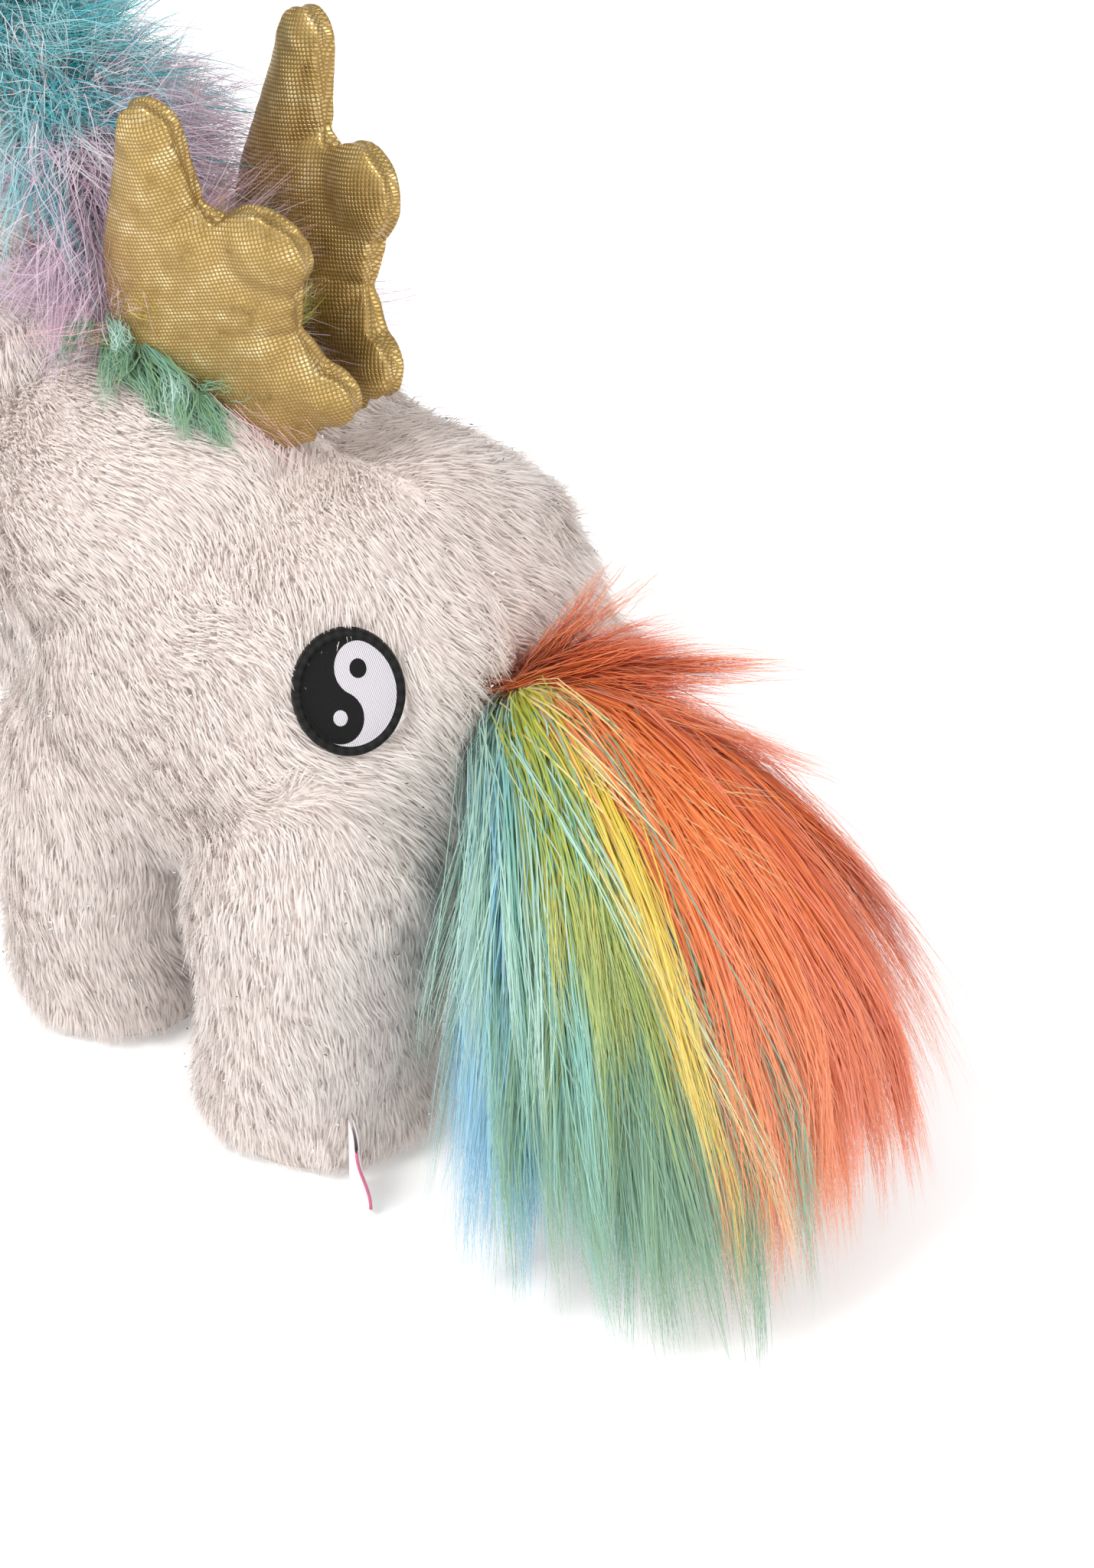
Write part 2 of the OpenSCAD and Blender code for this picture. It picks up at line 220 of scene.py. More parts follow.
def lame_material():
    """Knitted lame with foil dots on a diamond grid: metallic, bright on the dots, dull in the knit between."""
    pitch = 0.85 * MM
    material, tree = start_material("gold_foil_lame")
    uv = add(tree, "UVMap", uv_map="cloth")
    turned = add(tree, "Mapping", {"Rotation": (0, 0, math.radians(45)), "Scale": (1 / pitch,) * 3},
                 {"Vector": uv.outputs["UV"]})
    dots = add(tree, "TexVoronoi", {"Scale": 1.0, "Randomness": 0.08}, {"Vector": turned.outputs["Vector"]})
    dot = add(tree, "MapRange", {"From Min": 0.30, "From Max": 0.46, "To Min": 1.0, "To Max": 0.0},
              {"Value": dots.outputs["Distance"]})
    place = add(tree, "TexCoord")
    # Uneven foil tone with painted reflections: the brightest and darkest blotches of this noise stand in for glints
    # and shade on crinkled foil
    foil_tone_and_glints = add(tree, "TexNoise", {"Scale": 160.0, "Detail": 4.0, "Roughness": 0.65},
               {"Vector": place.outputs["Object"]})
    crinkle = add(tree, "TexNoise", {"Scale": 420.0, "Detail": 2.0}, {"Vector": place.outputs["Object"]})
    foil = set_ramp(add(tree, "ValToRGB", links={"Fac": foil_tone_and_glints.outputs["Fac"]}),
                    [(0.3, "#806637"), (0.4, "#b19358"), (0.55, "#c9ab70"), (0.7, "#ecd9a8")])
    colour = mix_colour(tree, "#9c8250", foil.outputs["Color"], dot.outputs["Result"], "MIX")
    rough = add(tree, "MapRange", {"From Min": 0.0, "From Max": 1.0, "To Min": 0.5, "To Max": 0.28},
                {"Value": dot.outputs["Result"]})
    height = add(tree, "Math", {1: 0.35}, {0: crinkle.outputs["Fac"]}, operation="MULTIPLY")
    total = add(tree, "Math", links={0: height.outputs[0], 1: dot.outputs["Result"]}, operation="ADD")
    bump = add(tree, "Bump", {"Strength": 0.8, "Distance": 0.15 * MM}, {"Height": total.outputs[0]})
    metal = add(tree, "BsdfPrincipled", {"Metallic": 0.85},
                {"Base Color": colour, "Roughness": rough.outputs["Result"], "Normal": bump.outputs["Normal"]})
    return finish_material(material, metal)


LAME = lame_material()


def thread_material(name, light, dark, pitch, angle):
    """Satin stitch: lustrous thread laid side by side, one row for each pitch, coloured darker in the groove between
    rows as painted shade.
    """
    material, tree = start_material(name)
    uv = add(tree, "UVMap", uv_map="cloth")
    turned = add(tree, "Mapping", {"Rotation": (0, 0, math.radians(angle))}, {"Vector": uv.outputs["UV"]})
    rows = add(tree, "TexWave", {"Scale": math.pi / (10 * pitch), "Distortion": 0.6, "Detail": 1.0,
                                           "Detail Scale": 400.0},
               {"Vector": turned.outputs["Vector"]}, wave_type="BANDS", bands_direction="X")
    # Painted shade: each row runs from the dark colour in its groove to the light colour on its crest
    tone = set_ramp(add(tree, "ValToRGB", links={"Fac": rows.outputs["Fac"]}), [(0.1, dark), (0.7, light)])
    bump = add(tree, "Bump", {"Strength": 0.7, "Distance": 0.12 * MM}, {"Height": rows.outputs["Fac"]})
    thread = add(tree, "BsdfPrincipled", {"Roughness": 0.45, "Sheen Weight": 0.2},
                 {"Base Color": tone.outputs["Color"], "Normal": bump.outputs["Normal"]})
    return finish_material(material, thread)


STITCH_PITCH = 0.42 * MM
# One black thread: its two colours are painted light and shade across each row
BLACK_THREAD = thread_material("black_rayon_thread", "#161615", "#080808", STITCH_PITCH, 20)


def plain_material(name, colour, roughness, metallic=0.0, sheen=0.0, coat=0.0, mottle=0.06, scale=300.0):
    """A moulded, foil or woven surface: its colour varies a little with a fine noise."""
    material, tree = start_material(name)
    place = add(tree, "TexCoord")
    grain = add(tree, "TexNoise", {"Scale": scale, "Detail": 2.0}, {"Vector": place.outputs["Object"]})
    amount = add(tree, "Math", {1: mottle * 2}, {0: grain.outputs["Fac"]}, operation="MULTIPLY")
    tone = mix_colour(tree, colour, "#000000", amount.outputs[0], "MIX")
    bump = add(tree, "Bump", {"Strength": 0.15, "Distance": 0.1 * MM}, {"Height": grain.outputs["Fac"]})
    surface = add(tree, "BsdfPrincipled",
                  {"Roughness": roughness, "Metallic": metallic, "Sheen Weight": sheen, "Coat Weight": coat},
                  {"Base Color": tone, "Normal": bump.outputs["Normal"]})
    return finish_material(material, surface)


SILVER_FLECK = plain_material("silver_foil_fleck", "#e9edf2", 0.38, metallic=1.0)
DARK_FLECK = plain_material("dark_foil_fleck", "#5d6a76", 0.25, metallic=1.0)
RIBBON = plain_material("woven_satin_ribbon", "#f2e9ee", 0.55, sheen=0.3)
RIBBON_EDGE = plain_material("printed_ribbon_edge", "#d06a88", 0.55)
EYE_BLACK = plain_material("black_acrylic", "#0b0a0a", 0.08, coat=0.6, mottle=0.0)
WASHER = plain_material("moulded_polyethylene", "#e9e9e4", 0.5)
SOLE = plain_material("pressed_plush_sole", "#dccfc7", 0.95, sheen=0.4, mottle=0.12, scale=500.0)


# --- Mesh helpers ---------------------------------------------------------------------------------
def finish_piece(piece, name, body, material, slot, *nodes):
    """Names a piece, hangs it on its body, gives it its material and hides the frame parts that it replaces."""
    piece.name = name
    piece.data.name = name
    if material is not None:
        piece.data.materials.clear()
        piece.data.materials.append(material)
    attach(piece, body)
    if nodes:
        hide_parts(*nodes)
    return piece


def active():
    return bpy.context.view_layer.objects.active


def apply_place():
    bpy.ops.object.transform_apply(location=True, rotation=True, scale=True)


def shade_smooth(piece):
    for polygon in piece.data.polygons:
        polygon.use_smooth = True


def face_outwards():
    """Turns every face of the active piece outwards."""
    bpy.ops.object.mode_set(mode="EDIT")
    bpy.ops.mesh.select_all(action="SELECT")
    bpy.ops.mesh.normals_make_consistent(inside=False)
    bpy.ops.object.mode_set(mode="OBJECT")


def cut_across(heights):
    """Cuts rings into the active piece, still in edit mode, at these heights."""
    for height in heights:
        bpy.ops.mesh.select_all(action="SELECT")
        bpy.ops.mesh.bisect(plane_co=(0, 0, height), plane_no=(0, 0, 1))


def modify(piece, kind, **settings):
    """Adds a modifier and applies it."""
    bpy.ops.object.select_all(action="DESELECT")
    bpy.context.view_layer.objects.active = piece
    piece.select_set(True)
    modifier = piece.modifiers.new(kind.lower(), kind)
    for name, value in settings.items():
        setattr(modifier, name, value)
    bpy.ops.object.modifier_apply(modifier=modifier.name)


def ball(place, radius, scale=(1, 1, 1)):
    bpy.ops.mesh.primitive_uv_sphere_add(segments=48, ring_count=32, radius=radius, location=place, scale=scale)
    apply_place()
    return active()


def drum(low, high, radius, rounding, axis):
    """A cylinder between two places with rounded end edges; axis 1 lies along Y and 2 stands."""
    turn = (math.radians(90), 0, 0) if axis == 1 else (0, 0, 0)
    length = abs(high[axis] - low[axis])
    bpy.ops.mesh.primitive_cylinder_add(vertices=64, radius=radius, depth=length, location=(low + high) / 2,
                                        rotation=turn)
    apply_place()
    piece = active()
    bpy.ops.object.mode_set(mode="EDIT")
    bpy.ops.mesh.select_mode(type="EDGE")
    bpy.ops.mesh.select_all(action="DESELECT")
    bpy.ops.object.mode_set(mode="OBJECT")
    across = [i for i in range(3) if i != axis]
    for edge in piece.data.edges:
        a, b = (piece.data.vertices[i].co for i in edge.vertices)
        edge.select = abs(a[axis] - b[axis]) < 1e-5 and all(
            math.hypot(*(v[i] - low[i] for i in across)) > radius * 0.9 for v in (a, b))
    bpy.ops.object.mode_set(mode="EDIT")
    bpy.ops.mesh.bevel(offset=rounding, segments=10, profile=0.5)
    bpy.ops.object.mode_set(mode="OBJECT")
    return piece


def join(pieces):
    bpy.ops.object.select_all(action="DESELECT")
    for piece in pieces:
        piece.select_set(True)
    bpy.context.view_layer.objects.active = pieces[0]
    bpy.ops.object.join()
    return active()


def stuffed(pieces, voxel, rounds, lump):
    """Joins solids into one sewn and stuffed skin, rounded where they meet and a little uneven all over."""
    skin = join(pieces)
    modify(skin, "REMESH", mode="VOXEL", voxel_size=voxel)
    modify(skin, "SMOOTH", factor=0.5, iterations=rounds)
    spots = points_of(skin)
    normals = normals_of(skin)
    push = array([noise.noise(Vector(p) / (22 * MM)) for p in spots])
    set_points(skin, spots + normals * (push * lump)[:, None])
    shade_smooth(skin)
    return skin


def points_of(piece):
    flat = np.empty(len(piece.data.vertices) * 3, np.float32)
    piece.data.vertices.foreach_get("co", flat)
    return flat.reshape(-1, 3).astype(float)


def normals_of(piece):
    flat = np.empty(len(piece.data.vertices) * 3, np.float32)
    piece.data.vertices.foreach_get("normal", flat)
    return flat.reshape(-1, 3).astype(float)


def set_points(piece, points):
    piece.data.vertices.foreach_set("co", points.astype(np.float32).ravel())
    piece.data.update()


def cloth_uv(piece, flat):
    """Gives a piece the UV map that its thread or lame follows, in metres."""
    while piece.data.uv_layers:
        piece.data.uv_layers.remove(piece.data.uv_layers[0])
    layer = piece.data.uv_layers.new(name="cloth")
    owners = np.empty(len(piece.data.loops), np.int32)
    piece.data.loops.foreach_get("vertex_index", owners)
    layer.data.foreach_set("uv", flat[owners].astype(np.float32).ravel())
    shade_smooth(piece)


def build_mesh(name, points, quads, triangles, normals, uvs):
    """A mesh of ribbons: corner numbers for quads and triangles, a normal and a UV for each point."""
    mesh = bpy.data.meshes.new(name)
    loops = np.concatenate([quads.ravel(), triangles.ravel()]).astype(np.int32)
    sizes = np.concatenate([np.full(len(quads), 4), np.full(len(triangles), 3)]).astype(np.int32)
    starts = np.concatenate([[0], np.cumsum(sizes)[:-1]]).astype(np.int32)
    mesh.vertices.add(len(points))
    mesh.vertices.foreach_set("co", points.astype(np.float32).ravel())
    mesh.loops.add(len(loops))
    mesh.loops.foreach_set("vertex_index", loops)
    mesh.polygons.add(len(sizes))
    mesh.polygons.foreach_set("loop_start", starts)
    mesh.polygons.foreach_set("loop_total", sizes)
    layer = mesh.uv_layers.new(name="OFBake")
    layer.data.foreach_set("uv", uvs[loops].astype(np.float32).ravel())
    mesh.update(calc_edges=True)
    mesh.polygons.foreach_set("use_smooth", np.ones(len(sizes), bool))
    mesh.normals_split_custom_set_from_vertices(unit(normals).astype(np.float32))
    piece = bpy.data.objects.new(name, mesh)
    bpy.context.scene.collection.objects.link(piece)
    return piece


def ribbons(name, paths, outward, width, shade, taper, facing=0.2):
    """Fibres as thin ribbons. paths is (fibres, stations, 3); outward is the way each station's face looks."""
    count, stations = paths.shape[:2]
    along = unit(np.gradient(paths, axis=1))
    side = unit(np.cross(along, outward))
    face = unit(np.cross(side, along))
    half = (width[:, None] / 2 * taper[None, :])[:, :, None]
    left, right = paths - side * half, paths + side * half
    sides = np.stack([left[:, :-1], right[:, :-1]], 2).reshape(count, -1, 3)
    points = np.concatenate([sides, paths[:, -1:]], 1)
    soft = unit(outward * (1 - facing) + face * facing)
    normals = np.concatenate([np.repeat(soft[:, :-1], 2, axis=1), soft[:, -1:]], 1)
    rise = np.linspace(0, 1, stations)
    thin = 0.004
    u = np.concatenate([np.tile([-thin, thin], stations - 1), [0]])[None, :] + shade[:, None]
    v = np.concatenate([np.repeat(rise[:-1], 2), [1]])[None, :].repeat(count, 0)
    first = np.arange(count)[:, None] * (2 * stations - 1)
    steps = 2 * np.arange(stations - 2)[None, :]
    base = first + steps
    quads = np.stack([base, base + 1, base + 3, base + 2], 2).reshape(-1, 4)
    last = first[:, 0] + 2 * (stations - 2)
    triangles = np.stack([last, last + 1, last + 2], 1)
    uvs = np.stack([np.clip(u, 0.002, 0.998), v], 2).reshape(-1, 2)
    return build_mesh(name, points.reshape(-1, 3), quads, triangles, normals.reshape(-1, 3), uvs)


# --- Short pile -------------------------------------------------------------------------------------
def scatter(skin, count, keep, rng):
    """Random places on a skin, spread evenly over its area, with their normals."""
    skin.data.calc_loop_triangles()
    corners_ = np.empty(len(skin.data.loop_triangles) * 3, np.int32)
    skin.data.loop_triangles.foreach_get("vertices", corners_)
    corners_ = corners_.reshape(-1, 3)
    points, normals = points_of(skin), normals_of(skin)
    corners_ = corners_[keep(points[corners_].mean(1), normals[corners_].mean(1))]
    a, b, c = (points[corners_[:, i]] for i in range(3))
    areas = np.linalg.norm(np.cross(b - a, c - a), axis=1) / 2
    chosen = rng.choice(len(corners_), count, p=areas / areas.sum())
    r, s = rng.random((2, count))
    r, s = np.where(r + s > 1, 1 - r, r), np.where(r + s > 1, 1 - s, s)
    weight = np.stack([1 - r - s, r, s], 1)[:, :, None]
    tri = corners_[chosen]
    return (points[tri] * weight).sum(1), unit((normals[tri] * weight).sum(1)), areas.sum()


def flow_noise(points, scale, rng):
    """A smooth random vector for each point: a few waves in random directions."""
    total = np.zeros_like(points)
    for _ in range(7):
        wave = rng.normal(size=3) / scale
        total += np.sin(points @ wave + rng.random() * 2 * math.pi)[:, None] * rng.normal(size=3)
    return total / 3


def pile(name, skin, keep, comb, count, length, body, nodes, rng):
    """Short plush pile over part of a skin: fibres combed one way and gathered into small tufts."""
    roots, normals, area = scatter(skin, count, keep, rng)
    tuft_size = 2.4 * MM
    tufts = max(20, int(area / tuft_size ** 2))
    seeds = rng.choice(count, tufts, replace=False)
    tree = kdtree.KDTree(tufts)
    for i, at in enumerate(roots[seeds]):
        tree.insert(at, i)
    tree.balance()
    nearest = array([tree.find(at)[1] for at in roots]).astype(int)
    way = comb(roots) + flow_noise(roots, 14 * MM, rng) * 0.38 + flow_noise(roots, 5 * MM, rng) * 0.22
    way = unit(way - normals * (way * normals).sum(1, keepdims=True))
    reach = length * rng.uniform(0.72, 1.15, count)
    reach *= (1 + 0.22 * rng.normal(size=tufts))[nearest].clip(0.6, 1.4)
    lift = rng.uniform(0.3, 0.62, count)[:, None]
    stray = rng.normal(size=(count, 3)) * 0.13
    low = unit(normals * lift + way * PILE_LAY * 0.55 + stray)
    high = unit(normals * lift * 0.45 + way * PILE_LAY + stray)
    start = roots - normals * 0.6 * MM
    half = start + low * (reach * 0.5)[:, None]
    tip = half + high * (reach * 0.5)[:, None]
    pull = rng.uniform(0.05, 0.34, count)[:, None]
    tuft_tip = tip[seeds][nearest]
    tuft_half = half[seeds][nearest]
    tip = tip + (tuft_tip - tip) * pull
    half = half + (tuft_half - half) * pull * 0.35
    tip[:, 2] = np.maximum(tip[:, 2], 0.3 * MM)
    half[:, 2] = np.maximum(half[:, 2], 0.5 * MM)
    paths = np.stack([start, half, tip], 1)
    twist = unit(normals + rng.normal(size=(count, 3)) * 0.14)
    outward = np.repeat(twist[:, None], 3, axis=1)
    shade = rng.beta(4, 3, count) * 0.8 + 0.2 * (0.5 + 0.5 * np.tanh(flow_noise(roots, 9 * MM, rng)[:, 0]))
    piece = ribbons(name, paths, outward, np.full(count, PILE_WIDTH), shade.clip(0.01, 0.99),
                    array([1.0, 0.85, 0]), 0.12)
    return finish_piece(piece, name, body, PLUSH, "plush", *nodes)


# --- Torso and legs ------------------------------------------------------------------------------------
def torso_skin():
    inset = PILE_DEPTH
    pad = array([0, BARREL_LEN / 2 - inset, 0])
    parts = [drum(BARREL - pad, BARREL + pad, BARREL_R - inset, BARREL_ROUND - inset, axis=1),
             ball(SHOULDERS, SHOULDER_R - inset * 0.5),
             ball(SHOULDERS + array([0, -16, -26]) * MM, 38 * MM - inset)]
    for at, radius in LEGS.values():
        low = array([at[0], at[1], 1.6 * MM])
        high = array([at[0], at[1], HIP_Z])
        parts.append(drum(low, high, radius - inset * 0.8, FOOT_ROUND, axis=2))
        parts.append(ball(high, radius - inset * 0.8))
    return stuffed(parts, voxel=2.0 * MM, rounds=14, lump=1.6 * MM)


def near_leg(points):
    """The leg whose axis is nearest, for points low enough to belong to one; -1 is the barrel."""
    owner = np.full(len(points), -1)
    for i, (at, radius) in enumerate(LEGS.values()):
        inside = np.hypot(points[:, 0] - at[0], points[:, 1] - at[1]) < radius * 1.25
        owner[inside & (points[:, 2] < HIP_Z * 0.72)] = i
    return owner


def body_comb(points):
    """The pile runs from head to tail and down the sides and legs."""
    drop = np.clip((BARREL[2] + 30 * MM - points[:, 2]) / (60 * MM), 0.1, 1.0)
    return np.stack([np.zeros(len(points)), 0.75 * (1 - drop * 0.5), -0.9 * drop], 1)


def bare(points, normals):
    """Where pile can grow: not under the patch, in the neck joint or on the soles."""
    off = points - PATCH
    along = off @ PATCH_DIR
    on_patch = (np.linalg.norm(off - along[:, None] * PATCH_DIR, axis=1) < PATCH_R * 0.9) & (along > -15 * MM)
    in_neck = np.linalg.norm(points - NECK, axis=1) < NECK_R - 7 * MM
    on_sole = (normals[:, 2] < -0.75) & (points[:, 2] < 4 * MM)
    return ~(on_patch | in_neck | on_sole)


def on_barrel(points, normals):
    return bare(points, normals) & (near_leg(points) < 0)


def on_gusset(points):
    return (abs(points[:, 0]) < GUSSET_W / 2) & (points[:, 2] < BARREL[2])


rng = np.random.default_rng(SEED)
PILE_LENGTH = 7.0 * MM
# How many fibres each skin carries
FIBRES = {"side": 60000, "gusset": 9000, "leg": 17500, "neck": 17000, "head": 26000, "muzzle": 15000,
          "ear": 6000}
torso = torso_skin()
FILLINGS = [f"{leg}_leg_filling" for leg in LEGS]
finish_piece(torso, "plush_backing", "body", BACKING, "plush", "body_filling", *FILLINGS)
for side, sign in (("left", 1), ("right", -1)):
    pile(f"body_{side}_panel_pile", torso,
         lambda p, n: on_barrel(p, n) & (p[:, 0] * sign > 0) & ~on_gusset(p),
         body_comb, FIBRES["side"], PILE_LENGTH, "body", [f"body_{side}_panel"], rng)
pile("belly_gusset_pile", torso,
     lambda p, n: on_barrel(p, n) & on_gusset(p),
     body_comb, FIBRES["gusset"], PILE_LENGTH, "body", ["belly_gusset"], rng)
for i, leg in enumerate(LEGS):
    pile(f"{leg}_leg_pile", torso, lambda p, n: bare(p, n) & (near_leg(p) == i), body_comb, FIBRES["leg"],
         PILE_LENGTH * 0.9, "body", [f"{leg}_leg"], rng)

# --- Patch, label and flecks ----------------------------------------------------------------------
def frame_of(direction, up=(0, 0, 1)):
    """Two directions across the one given: sideways and upwards."""
    across = unit(np.cross(array(up), direction))
    return across, unit(np.cross(direction, across))


def near(tree, uv, centre, radius):
    """1 inside a circle on the cloth and 0 outside it."""
    away = add(tree, "VectorMath", {1: (*centre, 0)}, {0: uv}, operation="DISTANCE")
    return add(tree, "Math", {1: radius}, {0: away.outputs["Value"]}, operation="LESS_THAN").outputs[0]


def calc(tree, operation, first, second):
    """A Math node on two sockets or numbers."""
    node = add(tree, "Math", operation=operation)
    for i, value in enumerate((first, second)):
        if isinstance(value, (int, float)):
            node.inputs[i].default_value = value
        else:
            tree.links.new(value, node.inputs[i])
    return node.outputs[0]


PATCH_FILL = 0.83  # the filled disc inside the rim, as a share of the patch's radius
PATCH_TURN = 26    # lean of the line through the two dots, in degrees
DOT_R = 0.15


def patch_material():
    """Black and white rayon embroidery: two drops, each with a dot of the other, in a black satin-stitched rim."""
    material, tree = start_material("embroidered_patch_thread")
    uv = add(tree, "UVMap", uv_map="cloth").outputs["UV"]
    sized = add(tree, "Mapping", {"Scale": (1 / (PATCH_R * PATCH_FILL),) * 3,
                                            "Rotation": (0, 0, math.radians(PATCH_TURN))}, {"Vector": uv})
    at = sized.outputs["Vector"]
    parts = add(tree, "SeparateXYZ", links={"Vector": at})
    right = calc(tree, "GREATER_THAN", parts.outputs["X"], 0.0)
    upper, lower = near(tree, at, (0, 0.5), 0.5), near(tree, at, (0, -0.5), 0.5)
    white = calc(tree, "MAXIMUM", upper, calc(tree, "MULTIPLY", right, calc(tree, "SUBTRACT", 1.0, lower)))
    white = calc(tree, "MINIMUM", white, calc(tree, "SUBTRACT", 1.0, near(tree, at, (0, 0.5), DOT_R * 1.2)))
    white = calc(tree, "MAXIMUM", white, near(tree, at, (0, -0.5), DOT_R))
    inside = near(tree, at, (0, 0), 1.0)
    white = calc(tree, "MULTIPLY", white, inside)
    slant = add(tree, "Mapping", {"Rotation": (0, 0, math.radians(-18))}, {"Vector": uv})
    fill = add(tree, "TexWave", {"Scale": math.pi / (10 * STITCH_PITCH), "Distortion": 1.2, "Detail": 1.0,
                                           "Detail Scale": 30.0}, {"Vector": slant.outputs["Vector"]},
               wave_type="BANDS", bands_direction="X")
    flat = add(tree, "SeparateXYZ", links={"Vector": uv})
    angle = calc(tree, "ARCTAN2", flat.outputs["Y"], flat.outputs["X"])
    spokes = calc(tree, "SINE", calc(tree, "MULTIPLY", angle, 2 * math.pi * PATCH_R / STITCH_PITCH / 2 / math.pi), 0.0)
    rim = calc(tree, "ADD", calc(tree, "MULTIPLY", spokes, 0.5), 0.5)
    rows = add(tree, "Mix", links={0: inside, 2: rim, 3: fill.outputs["Fac"]}, data_type="FLOAT").outputs[0]
    # Painted shade: each thread colour runs from dark in the grooves between stitch rows to light on their crests
    light = mix_colour(tree, "#a9a4ad", "#e2dee2", rows, "MIX")
    dark = mix_colour(tree, "#050505", "#161615", rows, "MIX")
    colour = mix_colour(tree, dark, light, white, "MIX")
    bump = add(tree, "Bump", {"Strength": 0.8, "Distance": 0.14 * MM}, {"Height": rows})
    thread = add(tree, "BsdfPrincipled", {"Roughness": 0.6, "Specular IOR Level": 0.2},
                 {"Base Color": colour, "Normal": bump.outputs["Normal"]})
    return finish_material(material, thread)


def patch():
    """The hip patch: a disc laid on the coat, with a raised rim and raised dots, its edge sunk into the coat."""
    across, up = frame_of(PATCH_DIR)
    bpy.ops.mesh.primitive_grid_add(x_subdivisions=96, y_subdivisions=96, size=2)
    piece = active()
    flat = points_of(piece)[:, :2]
    reach = np.abs(flat).max(1)
    long = np.linalg.norm(flat, axis=1)
    disc = flat * (reach / np.maximum(long, 1e-9))[:, None]
    disc[:, 0] *= 0.87
    radius = np.linalg.norm(disc / [0.87, 1], axis=1)
    lean = math.radians(PATCH_TURN)
    turned = disc @ array([[math.cos(lean), math.sin(lean)], [-math.sin(lean), math.cos(lean)]]) / PATCH_FILL
    dots = sum(np.exp(-(np.linalg.norm(turned - [0, y], axis=1) / DOT_R) ** 4) for y in (0.5, -0.5))
    rise = 0.5 * MM * (1 - radius ** 2) + 1.0 * MM * np.exp(-((radius - 0.92) / 0.075) ** 4)
    rise += 0.25 * MM * dots - 1.4 * MM * np.clip(radius - 0.97, 0, 1) / 0.03
    bvh = skin_tree(torso)
    spots = []
    for (x, y), high in zip(disc * PATCH_R, rise):
        start = PATCH + across * x + up * y + PATCH_DIR * 20 * MM
        hit = bvh.ray_cast(Vector(start), Vector(-PATCH_DIR))[0]
        spots.append(array(hit) + PATCH_DIR * (PILE_DEPTH + 1.0 * MM + high))
    layer = piece.data.uv_layers.active
    layer.name = "cloth"
    for loop in piece.data.loops:
        layer.data[loop.index].uv = disc[loop.vertex_index] * PATCH_R / array([0.87, 1])
    set_points(piece, array(spots))
    modify(piece, "SMOOTH", factor=0.5, iterations=1)
    modify(piece, "SOLIDIFY", thickness=2.0 * MM, offset=-1)
    shade_smooth(piece)
    finish_piece(piece, "hip_patch_embroidery", "body", patch_material(), "embroidery", "hip_patch")


def skin_tree(skin):
    """A tree that finds where a ray meets a skin."""
    corners = [v.co[:] for v in skin.data.vertices]
    return BVHTree.FromPolygons(corners, [list(f.vertices) for f in skin.data.polygons])


def flecks(name, material, count, size, rng):
    """Foil flecks spun in with the pile: single bright slivers at all angles."""
    roots, normals, area = scatter(torso, count, lambda p, n: bare(p, n) & (p[:, 2] > 8 * MM), rng)
    at = roots + normals * (PILE_DEPTH * rng.uniform(0.75, 1.3, count))[:, None]
    face = unit(normals + rng.normal(size=(count, 3)) * 0.7)
    along = unit(np.cross(face, rng.normal(size=(count, 3))))
    side = np.cross(face, along)
    long, wide = size * rng.uniform(0.6, 1.3, count)[:, None], size * 0.4
    points = np.stack([at - along * long - side * wide, at + along * long - side * wide,
                       at + along * long + side * wide, at - along * long + side * wide], 1).reshape(-1, 3)
    quads = np.arange(count * 4).reshape(-1, 4)
    uvs = np.tile([[0, 0], [1, 0], [1, 1], [0, 1]], (count, 1)).astype(float)
    piece = build_mesh(name, points, quads, np.empty((0, 3), int), np.repeat(face, 4, axis=0), uvs)
    finish_piece(piece, name, "body", material, "plush")


LABEL_TURN = math.radians(55)  # the way the label stands out of the foot
LABEL_REACH = 11 * MM
LABEL_GAP = 0.45 * MM  # half the gap between its two layers


def label():
    """The care label: a strip of satin ribbon folded in two, sewn in at its open end, with a printed edge."""
    low, high = corners("care_label")
    foot = middle("hind_left_sole")
    out = unit(array([math.cos(LABEL_TURN), math.sin(LABEL_TURN), 0]))
    side = array([-out[1], out[0], 0])
    start = array([foot[0], foot[1], low[2]]) + out * (LEGS["hind_left"][1] + 0.3 * MM)
    height = high[2] - low[2]
    bpy.ops.mesh.primitive_grid_add(x_subdivisions=40, y_subdivisions=16, size=2)
    piece = active()
    flat = points_of(piece)[:, :2]
    far = LABEL_REACH * (1 - np.abs(flat[:, 0]))
    ply = LABEL_GAP * np.sin(np.clip(flat[:, 0] / 0.12, -1, 1) * math.pi / 2)
    rise = (flat[:, 1] + 1) / 2 * height
    sway = 1.5 * MM * (far / LABEL_REACH) ** 2 * np.cos(math.pi * rise / height)
    spots = start + out * far[:, None] + side * (ply + sway)[:, None] + UP * rise[:, None]
    set_points(piece, spots)
    edge = [p.index for p in piece.data.polygons if abs(flat[list(p.vertices), 0]).mean() < 0.07]
    piece.data.materials.append(RIBBON)
    piece.data.materials.append(RIBBON_EDGE)
    for i in edge:
        piece.data.polygons[i].material_index = 1
    modify(piece, "SOLIDIFY", thickness=0.16 * MM, offset=0)
    shade_smooth(piece)
    finish_piece(piece, "care_label_ribbon", "label", None, "label_ribbon", "care_label")


patch()
flecks("silver_flecks", SILVER_FLECK, 1500, 0.30 * MM, rng)
flecks("dark_flecks", DARK_FLECK, 500, 0.28 * MM, rng)
label()


# --- Wings ---------------------------------------------------------------------------------------------
def turns(x=0.0, y=0.0, z=0.0):
    """Turns about X, then Y, then Z, in degrees."""
    return (Matrix.Rotation(math.radians(z), 4, "Z") @ Matrix.Rotation(math.radians(y), 4, "Y")
            @ Matrix.Rotation(math.radians(x), 4, "X"))


